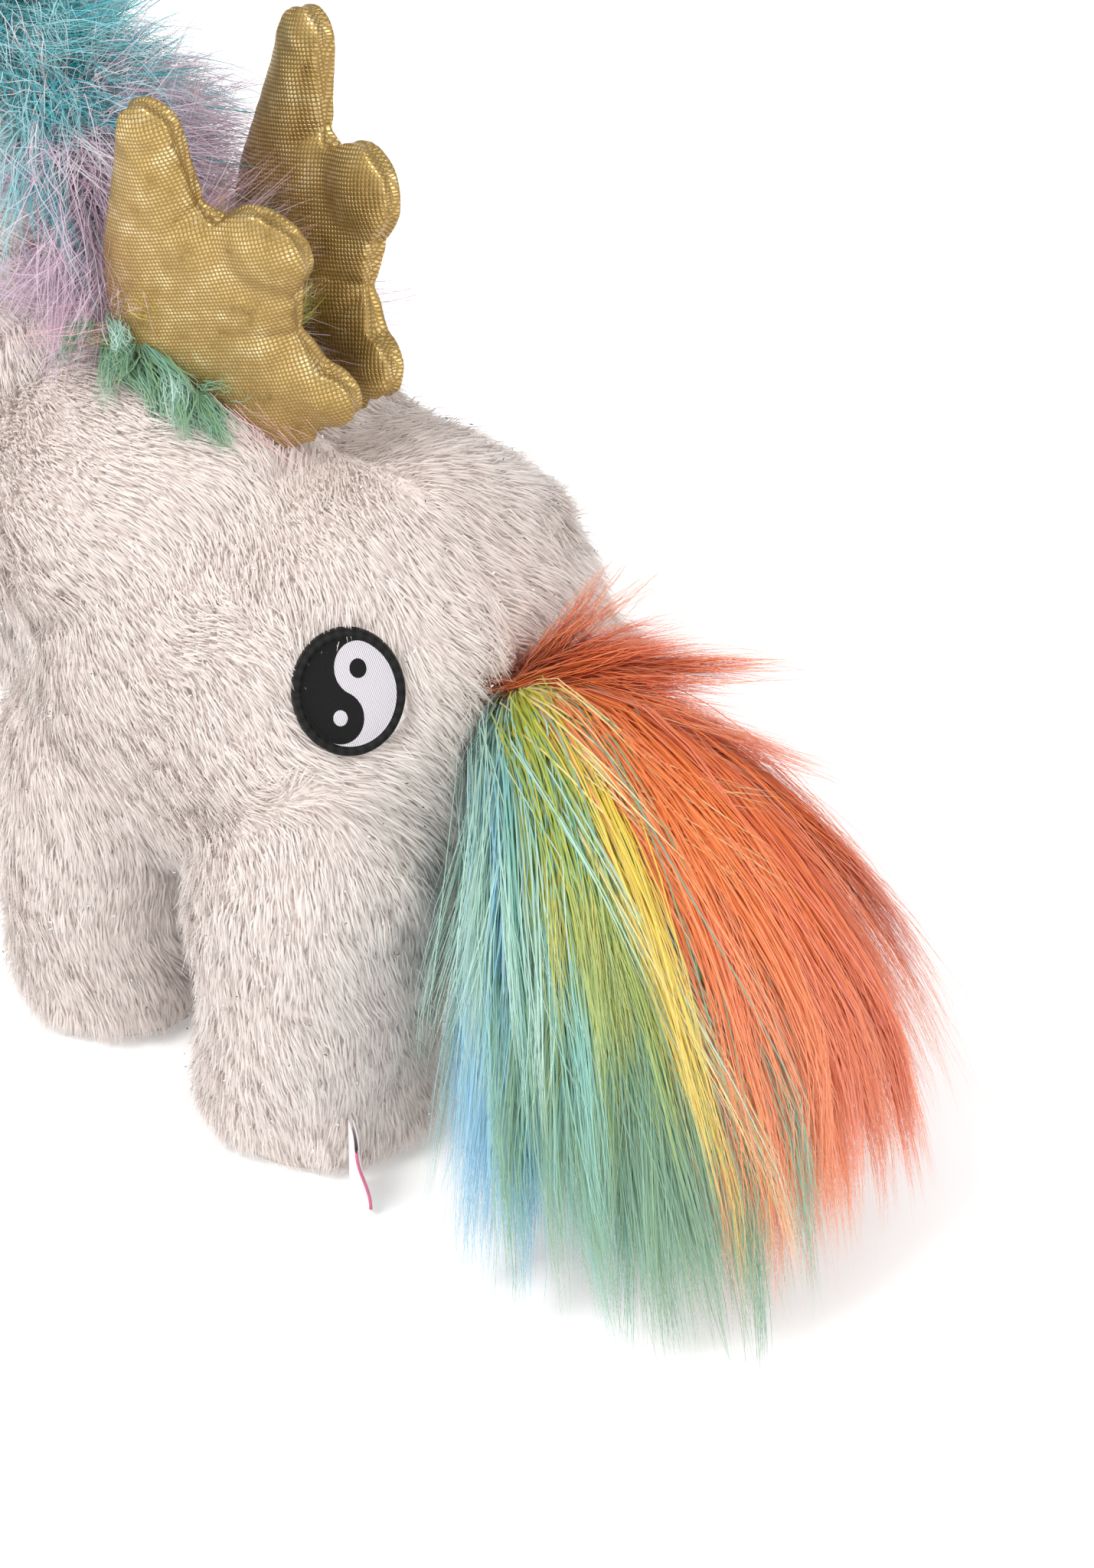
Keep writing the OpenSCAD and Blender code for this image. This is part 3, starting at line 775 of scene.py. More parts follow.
WING_X = 17.5 * MM
WING_ROOT = SHOULDERS + array([WING_X, -3.3 * MM, math.sqrt(SHOULDER_R ** 2 - WING_X ** 2) + 6 * MM])
WING_PLACE = (Matrix.Translation(WING_ROOT) @ turns(x=-24.5, z=16.4) @ turns(y=10) @ turns(x=90, z=90))
WING_EDGE = array([[0, -2.5], [-9, 20], [-16, 54], [-3.4, 57.5], [6, 45], [20, 40], [31, 38], [34, 30], [44, 22],
                   [46.8, 6], [42, -2.5]]) * MM
WING_LOBES = [(array(at) * MM, radius * MM) for at, radius in (((-9.8, 55.8), 6.5), ((20.7, 43.5), 10.5),
                                                             ((44.5, 18), 7))]


def edge_depth(points):
    """How far inside the wing's outline each flat point lies: the deepest of its feathers."""
    ends = np.roll(WING_EDGE, -1, axis=0)
    away = np.full(len(points), 1e9)
    inside = np.zeros(len(points), bool)
    for a, b in zip(WING_EDGE, ends):
        step = b - a
        share = np.clip(((points - a) @ step) / (step @ step), 0, 1)
        away = np.minimum(away, np.linalg.norm(points - a - share[:, None] * step, axis=1))
        crosses = (a[1] > points[:, 1]) != (b[1] > points[:, 1])
        meets = (b[0] - a[0]) * (points[:, 1] - a[1]) / (b[1] - a[1] + 1e-12) + a[0]
        inside ^= crosses & (points[:, 0] < meets)
    depth = [np.where(inside, away, -away)]
    depth += [radius - np.linalg.norm(points - at, axis=1) for at, radius in WING_LOBES]
    blend = 2.2 * MM
    return blend * np.log(np.sum(np.exp(array(depth) / blend), axis=0)) - 0.4 * MM


def fold_depth(points):
    """1 along the short folds that run inwards from the notches between the feathers, fading to 0 beside them."""
    total = np.zeros(len(points))
    for start, end in (((6, 46), (1, 30)), ((34, 30), (20, 21)), ((34, 30), (33, 12))):
        a, b = array(start) * MM, array(end) * MM
        share = np.clip(((points - a) @ (b - a)) / ((b - a) @ (b - a)), 0, 1)
        away = np.linalg.norm(points - a - share[:, None] * (b - a), axis=1)
        total = np.maximum(total, np.exp(-(away / (1.3 * MM)) ** 2) * (1 - share))
    return total


def wing(side, sign):
    """A stuffed wing: two lame panels that swell from the seam round their edge, with puckers along it."""
    edge_half, belly, swell = 1.9 * MM, 3.3 * MM, 11 * MM
    bpy.ops.mesh.primitive_plane_add(size=1)
    plate = active()
    outline = bpy.data.meshes.new("outline")
    outline.from_pydata([(*p, -edge_half) for p in WING_EDGE], [], [tuple(range(len(WING_EDGE)))])
    plate.data = outline
    bpy.ops.object.mode_set(mode="EDIT")
    bpy.ops.mesh.select_all(action="SELECT")
    bpy.ops.mesh.extrude_region_move(TRANSFORM_OT_translate={"value": (0, 0, 2 * edge_half)})
    bpy.ops.object.mode_set(mode="OBJECT")
    face_outwards()
    parts = [plate]
    for at, radius in WING_LOBES:
        bpy.ops.mesh.primitive_cylinder_add(vertices=64, radius=radius, depth=2 * edge_half, location=(*at, 0))
        apply_place()
        parts.append(active())
    piece = join(parts)
    modify(piece, "REMESH", mode="VOXEL", voxel_size=0.95 * MM)
    modify(piece, "SMOOTH", factor=0.5, iterations=10, use_z=False)
    spots = points_of(piece)
    depth = edge_depth(spots[:, :2]).clip(0, None)
    normals = normals_of(piece)
    full = 1 - (1 - np.minimum(depth / swell, 1)) ** 2.4
    pucker = array([noise.noise(Vector((p[0] / 0.0055, p[1] / 0.0055, sign * 3.1 + (p[2] > 0) * 9))) for p in spots])
    crease = array([noise.noise(Vector((p[0] / 0.013 + p[1] / 0.02, p[1] / 0.017, sign * 7.7 + (p[2] > 0) * 5)))
                    for p in spots])
    high = np.clip(np.abs(spots[:, 2]) / edge_half, 0, 1)
    swollen = (belly * full - 0.9 * MM * fold_depth(spots[:, :2])
               + 0.22 * MM * pucker * np.exp(-depth / (6 * MM)) + 0.25 * MM * crease * full)
    spots[:, 2] = np.where(high > 0.35, np.sign(spots[:, 2]) * (edge_half * high + swollen), spots[:, 2])
    groove = 1.7 * MM * np.exp(-(spots[:, 2] / (0.65 * MM)) ** 2) * (depth < 1.6 * MM)
    spots[:, :2] -= unit(normals[:, :2]) * groove[:, None]
    set_points(piece, spots)
    modify(piece, "SMOOTH", factor=0.5, iterations=2)
    modify(piece, "SUBSURF", levels=1, render_levels=1)
    spots = points_of(piece)
    facing = normals_of(piece)[:, :2]
    cloth_uv(piece, spots[:, :2] + facing * (edge_half - np.minimum(np.abs(spots[:, 2]), edge_half))[:, None])
    placed = array([WING_PLACE @ Vector(p) for p in spots])
    if sign < 0:
        placed[:, 0] *= -1
        piece.data.flip_normals()
    set_points(piece, placed)
    finish_piece(piece, f"wing_{side}_lame", f"wing_{side}", LAME, "gold_lame", f"wing_{side}_outer_panel",
                 f"wing_{side}_inner_panel", f"wing_{side}_filling")


wing("left", 1)
wing("right", -1)


# --- Tail --------------------------------------------------------------------------------------------------
# The tail is a fountain of hair. Four curves from its root bound it, in its own directions:
# across the spread towards the right rump, out to the left rear, and up.
ACROSS = array([-0.643, 0.766, 0])
OUT = array([0.766, 0.643, 0])
TAIL_RIGHT = array([(3, 1, 1), (44, 18, 8), (84, 34, -28), (92, 30, -84)]) * MM
TAIL_LEFT = array([(-4, 2, -1), (-12, 14, -18), (-15, 30, -62), (-19, 38, -95)]) * MM
TAIL_FRONT = array([(0, 5, 2), (14, 40, 14), (31, 88, -36), (35, 102, -95)]) * MM
TAIL_BACK = array([(1, -1, -3), (10, 10, -20), (20, 16, -60), (26, 22, -93)]) * MM


def bezier(controls, s):
    """A cubic curve through four control points at each s."""
    s = np.asarray(s)[..., None]
    a, b, c, d = controls
    return a * (1 - s) ** 3 + 3 * b * s * (1 - s) ** 2 + 3 * c * s ** 2 * (1 - s) + d * s ** 3


def in_tail(u, v, depth, s):
    """Where a hair runs in the fountain: u goes left to right, v front to back, depth is 1 outside."""
    right, left = bezier(TAIL_RIGHT, s), bezier(TAIL_LEFT, s)
    front, back = bezier(TAIL_FRONT, s), bezier(TAIL_BACK, s)
    core = (right + left) / 2
    rest = (front - core) * np.maximum(v, 0)[..., None] + (back - core) * np.maximum(-v, 0)[..., None]
    local = core + (right - left) / 2 * (u * depth)[..., None] + rest * np.asarray(depth)[..., None]
    return local[..., 0:1] * ACROSS + local[..., 1:2] * OUT + local[..., 2:3] * UP + TAIL


def hair(name, guides, dyes, per_lock, spread, width, body, slot, nodes, rng, axis, gather=0.55, floor=True):
    """Long hair: each guide carries one lock, whose hairs close on it towards the tip and end unevenly."""
    locks, stations = guides.shape[:2]
    owner = np.repeat(np.arange(locks), per_lock)
    count = len(owner)
    s = np.linspace(0, 1, stations)
    base = guides[owner]
    length = rng.uniform(0.72, 1.0, count)
    at = s[None, :] * length[:, None] * (stations - 1)
    low = np.minimum(at.astype(int), stations - 2)
    share = (at - low)[:, :, None]
    rows = np.arange(count)[:, None]
    paths = base[rows, low] * (1 - share) + base[rows, low + 1] * share
    offset = rng.normal(size=(count, 3)) * np.asarray(spread)[owner][:, None] * 0.6
    close = (1 - gather * s[None, :] ** 1.3)[:, :, None]
    grow = np.minimum(s[None, :] * 3.5 + 0.15, 1)[:, :, None]
    paths = paths + offset[:, None] * close * grow
    wave_at = rng.random((count, 3)) * 2 * math.pi
    wave = np.sin(s[None, :, None] * rng.uniform(4, 9, (count, 1, 1)) + wave_at[:, None])
    paths = paths + wave * (s ** 1.5)[None, :, None] * 1.6 * MM
    paths[:, :, 0] -= np.maximum(paths[:, :, 0] - HAIR_SIDE, 0) * 0.7
    paths[:, :, 1] -= np.maximum(paths[:, :, 1] - HAIR_BACK, 0) * 0.6
    if floor:
        paths[:, :, 2] = np.maximum(paths[:, :, 2], rng.uniform(0.6, 5, count)[:, None] * MM)
    outward = unit(paths - axis(s)[None])
    outward = unit(outward + unit(offset)[:, None] * 0.25 + rng.normal(size=(count, 1, 3)) * 0.05)
    taper = (1 - s ** 3) * np.minimum(0.55 + 3 * s, 1)
    shade = dyes[owner] + rng.normal(size=count) * SHADE_STRAY
    piece = ribbons(name, paths, outward, rng.uniform(0.6, 1.2, count) * width, shade, taper, facing=0.15)
    return finish_piece(piece, name, body, HAIR, slot, *nodes)


def hairs_per_lock(faces, guides):
    """How many hairs each lock gets for this many faces in all."""
    stations = guides.shape[1]
    return int(faces / (2 * stations - 3) / len(guides))


def at_rest(centre):
    """An axis for hair that stands out all round one place."""
    return lambda s: np.repeat(centre[None], len(s), 0)


def tail_axis(s):
    return in_tail(np.zeros(len(s)), np.zeros(len(s)), np.zeros(len(s)), s)


# Bands of colour over the tail: dye, u at the root, u at the tip, half-width of the band, front (1) or
# back (-1), depth, how far down the tail it reaches, number of locks
TAIL_BANDS = {
    "tail_left_hair": (
        ("mint", -0.68, -0.7, 0.24, 1, 0.99, 0.76, 44), ("teal", -0.5, -0.5, 0.25, 1, 0.95, 0.95, 36),
        ("sky", -0.7, -0.82, 0.2, 1, 0.93, 1.0, 36), ("mint", -0.8, -0.8, 0.35, -1, 0.9, 0.98, 24),
        ("green", -0.2, -0.2, 0.24, 1, 0.93, 1.0, 34), ("teal", -0.4, -0.4, 0.25, -1, 0.85, 0.97, 16)),
    "tail_middle_hair": (
        ("lime", -0.22, -0.12, 0.15, 1, 1.03, 0.64, 40), ("leaf", -0.12, -0.05, 0.16, 1, 0.99, 0.74, 34),
        ("yellow", 0.02, 0.16, 0.07, 1, 1.02, 0.84, 20), ("green", -0.02, 0.02, 0.24, 1, 0.95, 1.0, 52),
        ("yellow", 0.1, 0.1, 0.3, -1, 0.9, 0.95, 18), ("straw", -0.4, 0.5, 0.12, 1, 1.05, 0.93, 6),
        ("mint", -0.5, 0.35, 0.14, 1, 1.02, 0.9, 3), ("straw", -0.1, 0.75, 0.12, 1, 1.06, 0.5, 9)),
    "tail_right_hair": (
        ("apricot", 0.25, 0.35, 0.12, 1, 0.99, 0.90, 26), ("orange", 0.5, 0.55, 0.2, 1, 1.0, 0.94, 46),
        ("coral", 0.8, 0.85, 0.18, 1, 0.97, 1.0, 46), ("coral", 0.6, 0.6, 0.35, 1, 0.85, 1.0, 34),
        ("orange", 0.6, 0.6, 0.4, -1, 0.95, 0.95, 30), ("pink", 0.2, 0.25, 0.2, 1, 0.8, 1.0, 8)),
}


def tail():
    stations = 9
    s = np.linspace(0, 1, stations)
    for name, bands in TAIL_BANDS.items():
        guides, dyes, spreads = [], [], []
        for dye, root_u, tip_u, half, face, depth, end, count in bands:
            for _ in range(count):
                stray = rng.normal() * 0.75
                u = root_u + (tip_u - root_u) * s ** 0.8 + stray * half
                u = np.clip(u, -1, 1)
                v = face * np.sqrt(np.clip(1 - u ** 2, 0, 1))
                at = (end * rng.uniform(0.88, 1.03) * s).clip(0, 1)
                deep = depth * rng.uniform(0.92, 1.02)
                flick = rng.normal(size=3) * 6 * MM * (s ** 2.2)[:, None]
                bend = np.sin(s * rng.uniform(3, 6) + rng.uniform(0, 2)) * s
                flick += rng.normal(size=3) * 3.2 * MM * bend[:, None]
                guides.append(in_tail(u, v, np.full(stations, deep), at) + flick)
                dyes.append(DYE_AT[dye])
                spreads.append(rng.uniform(2.4, 5.5) * MM)
        guides = array(guides)
        hair(name, guides, array(dyes), hairs_per_lock(160000, guides), spreads, 0.36 * MM, "tail", "tail_pile",
             ["tail_hair"] if name == "tail_middle_hair" else [], rng, tail_axis)
    # A short crown of hair stands out of the root and sweeps to the right
    tips = array([(24, -8, 24), (34, 2, 18), (40, 10, 14), (52, 15, 6), (58, 8, 10), (66, 20, -8), (-6, 6, -14),
                  (46, 24, 0), (-12, 2, -6)]) * MM
    guides, dyes, spreads = [], [], []
    for tip in tips:
        for _ in range(7):
            end = tip * rng.uniform(0.8, 1.08) + rng.normal(size=3) * 3 * MM
            knee = end * 0.45 + array([0, 4, 7]) * MM
            local = bezier(array([rng.normal(size=3) * 2 * MM, knee * 0.6, knee * 1.1, end]), s)
            guides.append(local[:, 0:1] * ACROSS + local[:, 1:2] * OUT + local[:, 2:3] * UP + TAIL)
            dyes.append(DYE_AT[rng.choice(["orange", "coral", "apricot"], p=[0.6, 0.2, 0.2])])
            spreads.append(3.0 * MM)
    hair("tail_root_hair", array(guides), array(dyes), 50, spreads, 0.34 * MM, "tail_root", "tail_pile", ["tail_root"],
         rng, tail_axis, floor=False)


tail()


# --- Mane --------------------------------------------------------------------------------------------------
def crest_point(angle, side=0.0):
    """A place on the skull's middle line, from its top (0) round to the nape (90)."""
    a, b = math.radians(angle), side
    return SKULL + (SKULL_R - 1 * MM) * unit(array([b, math.sin(a), math.cos(a)]))


def mane_locks(roots, ways, lengths, droop, count, dyes, rng, stations=9):
    """Guide curves that start at roots, leave along ways and bend down by droop as they go."""
    s = np.linspace(0, 1, stations)
    guides, shades = [], []
    for _ in range(count):
        i = rng.integers(len(roots))
        way = unit(ways[i] + rng.normal(size=3) * 0.5)
        length = lengths[i] * rng.uniform(0.7, 1.12)
        root = roots[i] + rng.normal(size=3) * 2.5 * MM
        fall = UP * -droop * length
        path = root + way * (length * s)[:, None] + fall * (s ** 2)[:, None]
        path += rng.normal(size=3) * 4 * MM * (s ** 2)[:, None]
        guides.append(path)
        shades.append(DYE_AT[dyes[rng.integers(len(dyes))]])
    return array(guides), array(shades)


def mane():
    # On the head: teal, parted along the crest, falling to both sides and back over the neck
    roots, ways, lengths = [], [], []
    for angle in range(-5, 96, 6):
        for side in (-1, 1):
            roots.append(crest_point(angle, side * 0.12))
            back = math.sin(math.radians(angle))
            ways.append(unit(array([side * 0.5, 0.5 + 0.3 * back, 0.75 - 0.3 * back])))
            lengths.append(36 * MM)
    upper = [i for i, r in enumerate(roots) if r[2] > SKULL[2] + 25 * MM]
    lower = [i for i in range(len(roots)) if i not in upper]
    parts = []
    for chosen, count, dyes in ((upper, 110, ["aqua", "deep_teal", "deep_teal", "pale", "aqua"]),
                                (lower, 190, ["lilac", "lilac", "pale", "lilac"])):
        parts.append(mane_locks(array(roots)[chosen], array(ways)[chosen], array(lengths)[chosen], 0.4, count, dyes,
                                rng))
    guides, shades = (np.concatenate([part[i] for part in parts]) for i in (0, 1))
    hair("mane_crest_hair", guides, shades, hairs_per_lock(136000, guides),
         rng.uniform(3, 9, len(guides)) * MM, 0.24 * MM, "head", "mane_pile", ["mane_crest"], rng, at_rest(SKULL),
         floor=False, gather=0.1)
    # In front of the horn: a short lilac forelock
    roots = array([crest_point(a, b) for a in (-18, -28, -38) for b in (-0.2, 0, 0.2)])
    ways = array([unit(array([r[0] / MM * 0.04, -0.8, 0.35])) for r in roots])
    guides, shades = mane_locks(roots, ways, [32 * MM] * len(roots), 0.5, 60, ["lilac", "pink", "pale"], rng)
    hair("forelock_hair", guides, shades, 38, [2.6 * MM] * len(guides), 0.5 * MM, "head", "mane_pile",
         ["forelock"], rng, at_rest(SKULL), floor=False)
    # On the withers: lilac in front of the wings, yellow between them, green under their roots
    top = SHOULDERS + array([0, 0, SHOULDER_R - 2 * MM])
    roots = array([top + array([x, y, -0.6 * abs(x)]) * MM for x in (-7, -3, 3, 7) for y in (-18, -13, -8)])
    ways = array([unit(array([-0.4, 0.75, 0.7])) for r in roots])
    guides, shades = mane_locks(roots, ways, [60 * MM] * len(roots), 0.1, 90,
                                ["lilac", "lilac", "pale", "pink"], rng)
    parts = [(guides, shades, 5.0)]
    roots = array([top + array([x, y, 0]) * MM for x in (-3, 3) for y in (4, 12, 20)])
    ways = array([unit(array([np.sign(r[0]) * 0.12, 0.1, 1.0])) for r in roots])
    guides, shades = mane_locks(roots, ways, [30 * MM] * len(roots), 0.05, 36, ["yellow", "straw", "lime"], rng)
    parts.append((guides, shades, 2.6))
    root_line = [array(WING_PLACE @ Vector((x * MM, 1 * MM, 3 * MM))) for x in (0, 7, 14, 22)]
    for sign in (1, -1):
        mirrored = array([p * [sign, 1, 1] for p in root_line])
        ways = array([[sign * 0.4, 0.7, -0.4]] * len(mirrored))
        guides, shades = mane_locks(mirrored, ways, [15 * MM] * len(mirrored), 0.3, 26,
                                    ["green", "mint", "green"], rng)
        parts.append((guides, shades, 2.2))
    guides = np.concatenate([p[0] for p in parts])
    shades = np.concatenate([p[1] for p in parts])
    spreads = np.concatenate([np.full(len(p[0]), p[2] * MM) for p in parts])
    hair("mane_withers_hair", guides, shades, hairs_per_lock(136000, guides), spreads, 0.22 * MM, "body",
         "mane_pile", ["mane_withers"], rng, at_rest(SHOULDERS), floor=False, gather=0.2)


mane()


# --- Neck and head --------------------------------------------------------------------------------------
def neck():
    skin = stuffed([ball(NECK, NECK_R - PILE_DEPTH)], voxel=2 * MM, rounds=2, lump=0.8 * MM)
    finish_piece(skin, "neck_backing", "neck", BACKING, "plush", "neck_filling")
    pile("neck_cover_pile", skin, lambda p, n: np.linalg.norm(p - SHOULDERS, axis=1) > SHOULDER_R - 9 * MM,
         lambda p: np.tile([0, 0.6, -0.8], (len(p), 1)), FIBRES["neck"], PILE_LENGTH, "neck", ["neck_cover"], rng)


def head():
    inset = PILE_DEPTH
    skin = stuffed([ball(SKULL, SKULL_R - inset), ball(MUZZLE, MUZZLE_R - 2 * MM, (1, 1, 0.9))],
                   voxel=2 * MM, rounds=10, lump=1.2 * MM)
    finish_piece(skin, "head_backing", "head", BACKING, "plush", "head_filling")
    eyes = [SKULL + SKULL_R * EYE_DIR * [sign, 1, 1] for sign in (1, -1)]

    def clear(p):
        keep = np.linalg.norm(p - HORN_FOOT, axis=1) > 9 * MM
        for eye in eyes:
            keep &= np.linalg.norm(p - eye, axis=1) > 7.5 * MM
        return keep

    def on_muzzle(p):
        return np.linalg.norm(p - MUZZLE, axis=1) < MUZZLE_R + 0.5 * MM

    def comb(p):
        return unit(p - (MUZZLE + array([0, -20, 0]) * MM)) * 0.9 + array([0, 0.2, -0.35])

    for side, sign in (("left", 1), ("right", -1)):
        pile(f"head_{side}_panel_pile", skin, lambda p, n: clear(p) & ~on_muzzle(p) & (p[:, 0] * sign > 0), comb,
             FIBRES["head"], PILE_LENGTH * 0.9, "head", [f"head_{side}_panel"], rng)
    nostrils = [MUZZLE + MUZZLE_R * NOSTRIL_DIR * [sign, 1, 1] for sign in (1, -1)]

    def muzzle_keep(p, n):
        keep = clear(p) & on_muzzle(p)
        for nostril in nostrils:
            keep &= np.linalg.norm(p - nostril, axis=1) > 4.5 * MM
        low = abs(p[:, 2] - (MUZZLE[2] - 8 * MM)) < 1.2 * MM
        line = low & (abs(p[:, 0]) < 13 * MM) & (p[:, 1] < MUZZLE[1])
        return keep & ~line

    pile("muzzle_pile", skin, muzzle_keep, comb, FIBRES["muzzle"], 3.0 * MM, "head", ["muzzle"], rng)
    for side, sign in (("left", 1), ("right", -1)):
        bpy.ops.mesh.primitive_uv_sphere_add(segments=32, ring_count=16, radius=1)
        piece = active()
        out = unit(NOSTRIL_DIR * [sign, 1, 1])
        across, up = frame_of(out)
        local = points_of(piece)
        spots = (MUZZLE + out * (MUZZLE_R - 0.4 * MM) + local[:, 0:1] * across * 2.6 * MM
                 + local[:, 1:2] * up * 3.6 * MM + local[:, 2:3] * out * 1.5 * MM)
        set_points(piece, spots)
        cloth_uv(piece, local[:, :2] * 3 * MM)
        finish_piece(piece, f"nostril_{side}_stitching", "head", BLACK_THREAD, "embroidery", f"nostril_{side}")


def mouth():
    """A gentle smile: a rope of black thread sewn along the muzzle."""
    bpy.ops.mesh.primitive_cylinder_add(vertices=12, radius=1, depth=2, end_fill_type="TRIFAN")
    piece = active()
    bpy.ops.object.mode_set(mode="EDIT")
    cut_across([0] + [sign * i / 24 for i in range(1, 24) for sign in (-1, 1)])
    bpy.ops.object.mode_set(mode="OBJECT")
    local = points_of(piece)
    x = local[:, 2] * 12 * MM
    drop = -8 * MM - 2.5 * MM + 5 * MM * local[:, 2] ** 2
    front = np.sqrt((MUZZLE_R - 0.2 * MM) ** 2 - x ** 2 - drop ** 2)
    line = np.stack([x, -front, drop], 1)
    out = unit(line)
    up = array([0, 0, 1]) - out * out[:, 2:3]
    rope = 0.9 * MM * (1 - 0.6 * local[:, 2] ** 8)
    spots = MUZZLE + line + (local[:, 0:1] * out + local[:, 1:2] * unit(up)) * rope[:, None]
    set_points(piece, spots)
    cloth_uv(piece, np.stack([x, local[:, 1] * MM], 1))
    finish_piece(piece, "mouth_stitching", "head", BLACK_THREAD, "embroidery", "mouth_stitch")


def horn():
    """The horn: a stuffed lame cone, wound with thread that draws a spiral groove."""
    length, root_r, tip_r = 58 * MM, 11 * MM, 3 * MM
    sunk = 8 * MM
    bpy.ops.mesh.primitive_cylinder_add(vertices=96, radius=1, depth=1, end_fill_type="TRIFAN")
    piece = active()
    bpy.ops.object.mode_set(mode="EDIT")
    steps = 110
    cut_across([-0.5 + i / steps for i in range(1, steps)])
    bpy.ops.object.mode_set(mode="OBJECT")
    local = points_of(piece)
    up = local[:, 2] + 0.5
    angle = np.arctan2(local[:, 1], local[:, 0])
    ring = np.hypot(local[:, 0], local[:, 1])
    radius = root_r + (tip_r - root_r) * up
    radius *= np.sqrt(np.clip(1 - ((up - 0.95) / 0.052).clip(0, 1) ** 2, 0.0, 1))
    turns_ = 4.5
    phase = np.mod(up * turns_ - angle / (2 * math.pi), 1.0)
    swell = np.abs(np.sin(math.pi * phase)) ** 0.55
    radius *= 0.84 + 0.18 * swell * (up < 0.97)
    across, rise = frame_of(HORN_DIR, (0, 1, 0))
    base = SKULL + HORN_DIR * (SKULL_R - sunk)
    flat = ring * radius
    spots = (base + (flat * np.cos(angle))[:, None] * across + (flat * np.sin(angle))[:, None] * rise
             + HORN_DIR * (up * (length + sunk))[:, None])
    set_points(piece, spots)
    face_outwards()
    cloth_uv(piece, np.stack([angle * root_r * 0.7, up * length], 1))
    finish_piece(piece, "horn_lame", "head", LAME, "gold_lame", "horn_cover", "horn_filling")


EAR_DIR = unit(array([0.6, 0.2, 0.775]))
EAR_W, EAR_H = 24 * MM, 36 * MM


def ear_place():
    turned = turns(y=math.degrees(math.acos(EAR_DIR[2])), z=math.degrees(math.atan2(EAR_DIR[1], EAR_DIR[0])))
    root = SKULL + (SKULL_R + 0.5 * MM) * EAR_DIR
    return Matrix.Translation(root) @ turned @ turns(z=10) @ turns(x=90)


def ear(side, sign):
    """An ear: a plush leaf with a lame lining sewn into its cupped front."""
    place = ear_place()
    for layer, inset, thick, sink in (("outer", 1.0 * MM, 1.7 * MM, -1.25 * MM),
                                      ("lining", 3.0 * MM, 1.0 * MM, 1.6 * MM)):
        bpy.ops.mesh.primitive_uv_sphere_add(segments=48, ring_count=24, radius=1)
        piece = active()
        local = points_of(piece)
        rise = (local[:, 1] + 1) / 2
        wide = (EAR_W / 2 - inset) * (np.sin(math.pi * (0.12 + 0.88 * rise) ** 0.9).clip(0, 1) ** 0.75 + 0.02)
        around = np.hypot(local[:, 0], local[:, 2])
        slim = local[:, 0] / np.maximum(around, 1e-6) * wide * np.minimum(around * 3, 1)
        cup = 3.2 * MM * (slim / (EAR_W / 2)) ** 2 - 1.0 * MM
        shape = np.stack([slim, -3 * MM + inset + (EAR_H - 3 * MM - inset * 2) * rise,
                          sink + cup + local[:, 2] * thick], 1)
        spots = array([place @ Vector(p) for p in shape]) * [sign, 1, 1]
        set_points(piece, spots)
        face_outwards()
        cloth_uv(piece, shape[:, :2])
        if layer == "lining":
            finish_piece(piece, f"ear_{side}_lining_lame", f"ear_{side}", LAME, "gold_lame", f"ear_{side}_lining")
            continue
        finish_piece(piece, f"ear_{side}_backing", f"ear_{side}", BACKING, "plush")
        front = array(place.to_3x3() @ Vector((0, 0, 1))) * [sign, 1, 1]
        up = array(place.to_3x3() @ Vector((0, 1, 0))) * [sign, 1, 1]
        pile(f"ear_{side}_pile", piece, lambda p, n: (n @ front) < 0.35, lambda p: np.tile(up, (len(p), 1)),
             FIBRES["ear"], 4.5 * MM, f"ear_{side}", [f"ear_{side}_outer"], rng)


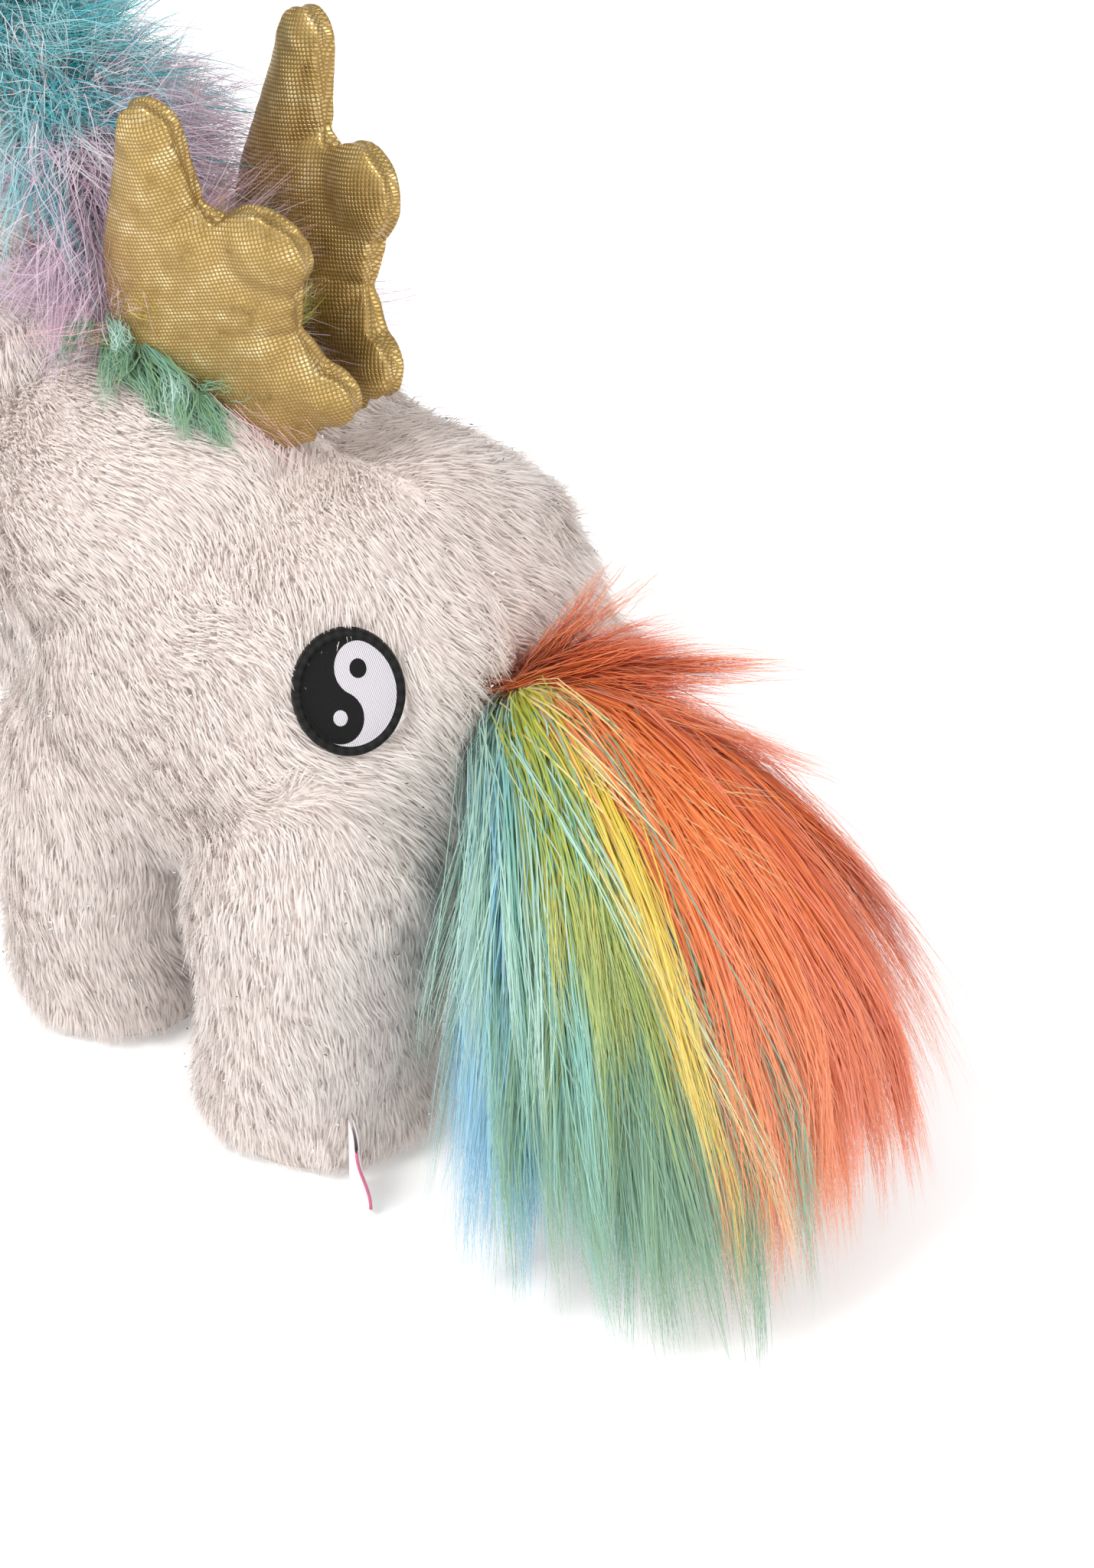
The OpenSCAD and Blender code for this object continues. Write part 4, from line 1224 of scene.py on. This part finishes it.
HORN_FOOT = SKULL + SKULL_R * HORN_DIR
neck()
head()
mouth()
horn()
ear("left", 1)
ear("right", -1)
KEPT = {"eye_left": EYE_BLACK, "eye_right": EYE_BLACK, "eye_left_washer": WASHER, "eye_right_washer": WASHER}
KEPT.update({f"{leg}_sole": SOLE for leg in LEGS})
for name, material in KEPT.items():
    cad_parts[name].data.materials.clear()
    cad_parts[name].data.materials.append(material)


# --- Camera, floor and light ------------------------------------------------------------------------
AZIMUTH, ELEVATION, DISTANCE = math.radians(130), math.radians(36), 1.5
TARGET = Vector((0.00404, 0.06787, 0.08021))


def make_camera():
    data = bpy.data.cameras.new("camera")
    data.lens = 174.0
    data.sensor_width = 36.0
    data.clip_start = 0.05
    camera = bpy.data.objects.new("camera", data)
    bpy.context.scene.collection.objects.link(camera)
    back = Vector((math.sin(AZIMUTH) * math.cos(ELEVATION), -math.cos(AZIMUTH) * math.cos(ELEVATION),
                   math.sin(ELEVATION)))
    camera.location = TARGET + back * DISTANCE
    camera.rotation_euler = (-back).to_track_quat("-Z", "Y").to_euler()
    bpy.context.scene.camera = camera


def make_floor():
    material, tree = start_material("white_studio_floor")
    paint = add(tree, "BsdfPrincipled", {"Base Color": linear("#f7f7f7"), "Roughness": 0.9,
                                                   "Emission Color": linear("#ffffff"), "Emission Strength": 0.2})
    add(tree, "OutputMaterial", links={"Surface": paint.outputs["BSDF"]})
    bpy.ops.mesh.primitive_plane_add(size=8)
    floor = active()
    floor.name = "floor"
    floor.data.materials.append(material)


def area_light(name, place, size, power, aim):
    data = bpy.data.lights.new(name, "AREA")
    data.size = size
    data.energy = power
    light = bpy.data.objects.new(name, data)
    bpy.context.scene.collection.objects.link(light)
    light.location = place
    light.rotation_euler = (Vector(aim) - Vector(place)).to_track_quat("-Z", "Y").to_euler()


def make_light():
    world = bpy.data.worlds.new("studio")
    world.use_nodes = True
    sky = world.node_tree.nodes["Background"]
    sky.inputs["Color"].default_value = linear("#ffffff")
    sky.inputs["Strength"].default_value = 0.8
    bpy.context.scene.world = world
    bpy.context.scene.view_settings.view_transform = "Standard"
    area_light("key", (1.2, -0.2, 1.7), 0.9, 27, (0, 0, 0.08))
    area_light("fill", (0.2, 1.6, 1.2), 1.4, 14, (0, 0, 0.08))


make_camera()
make_floor()
make_light()
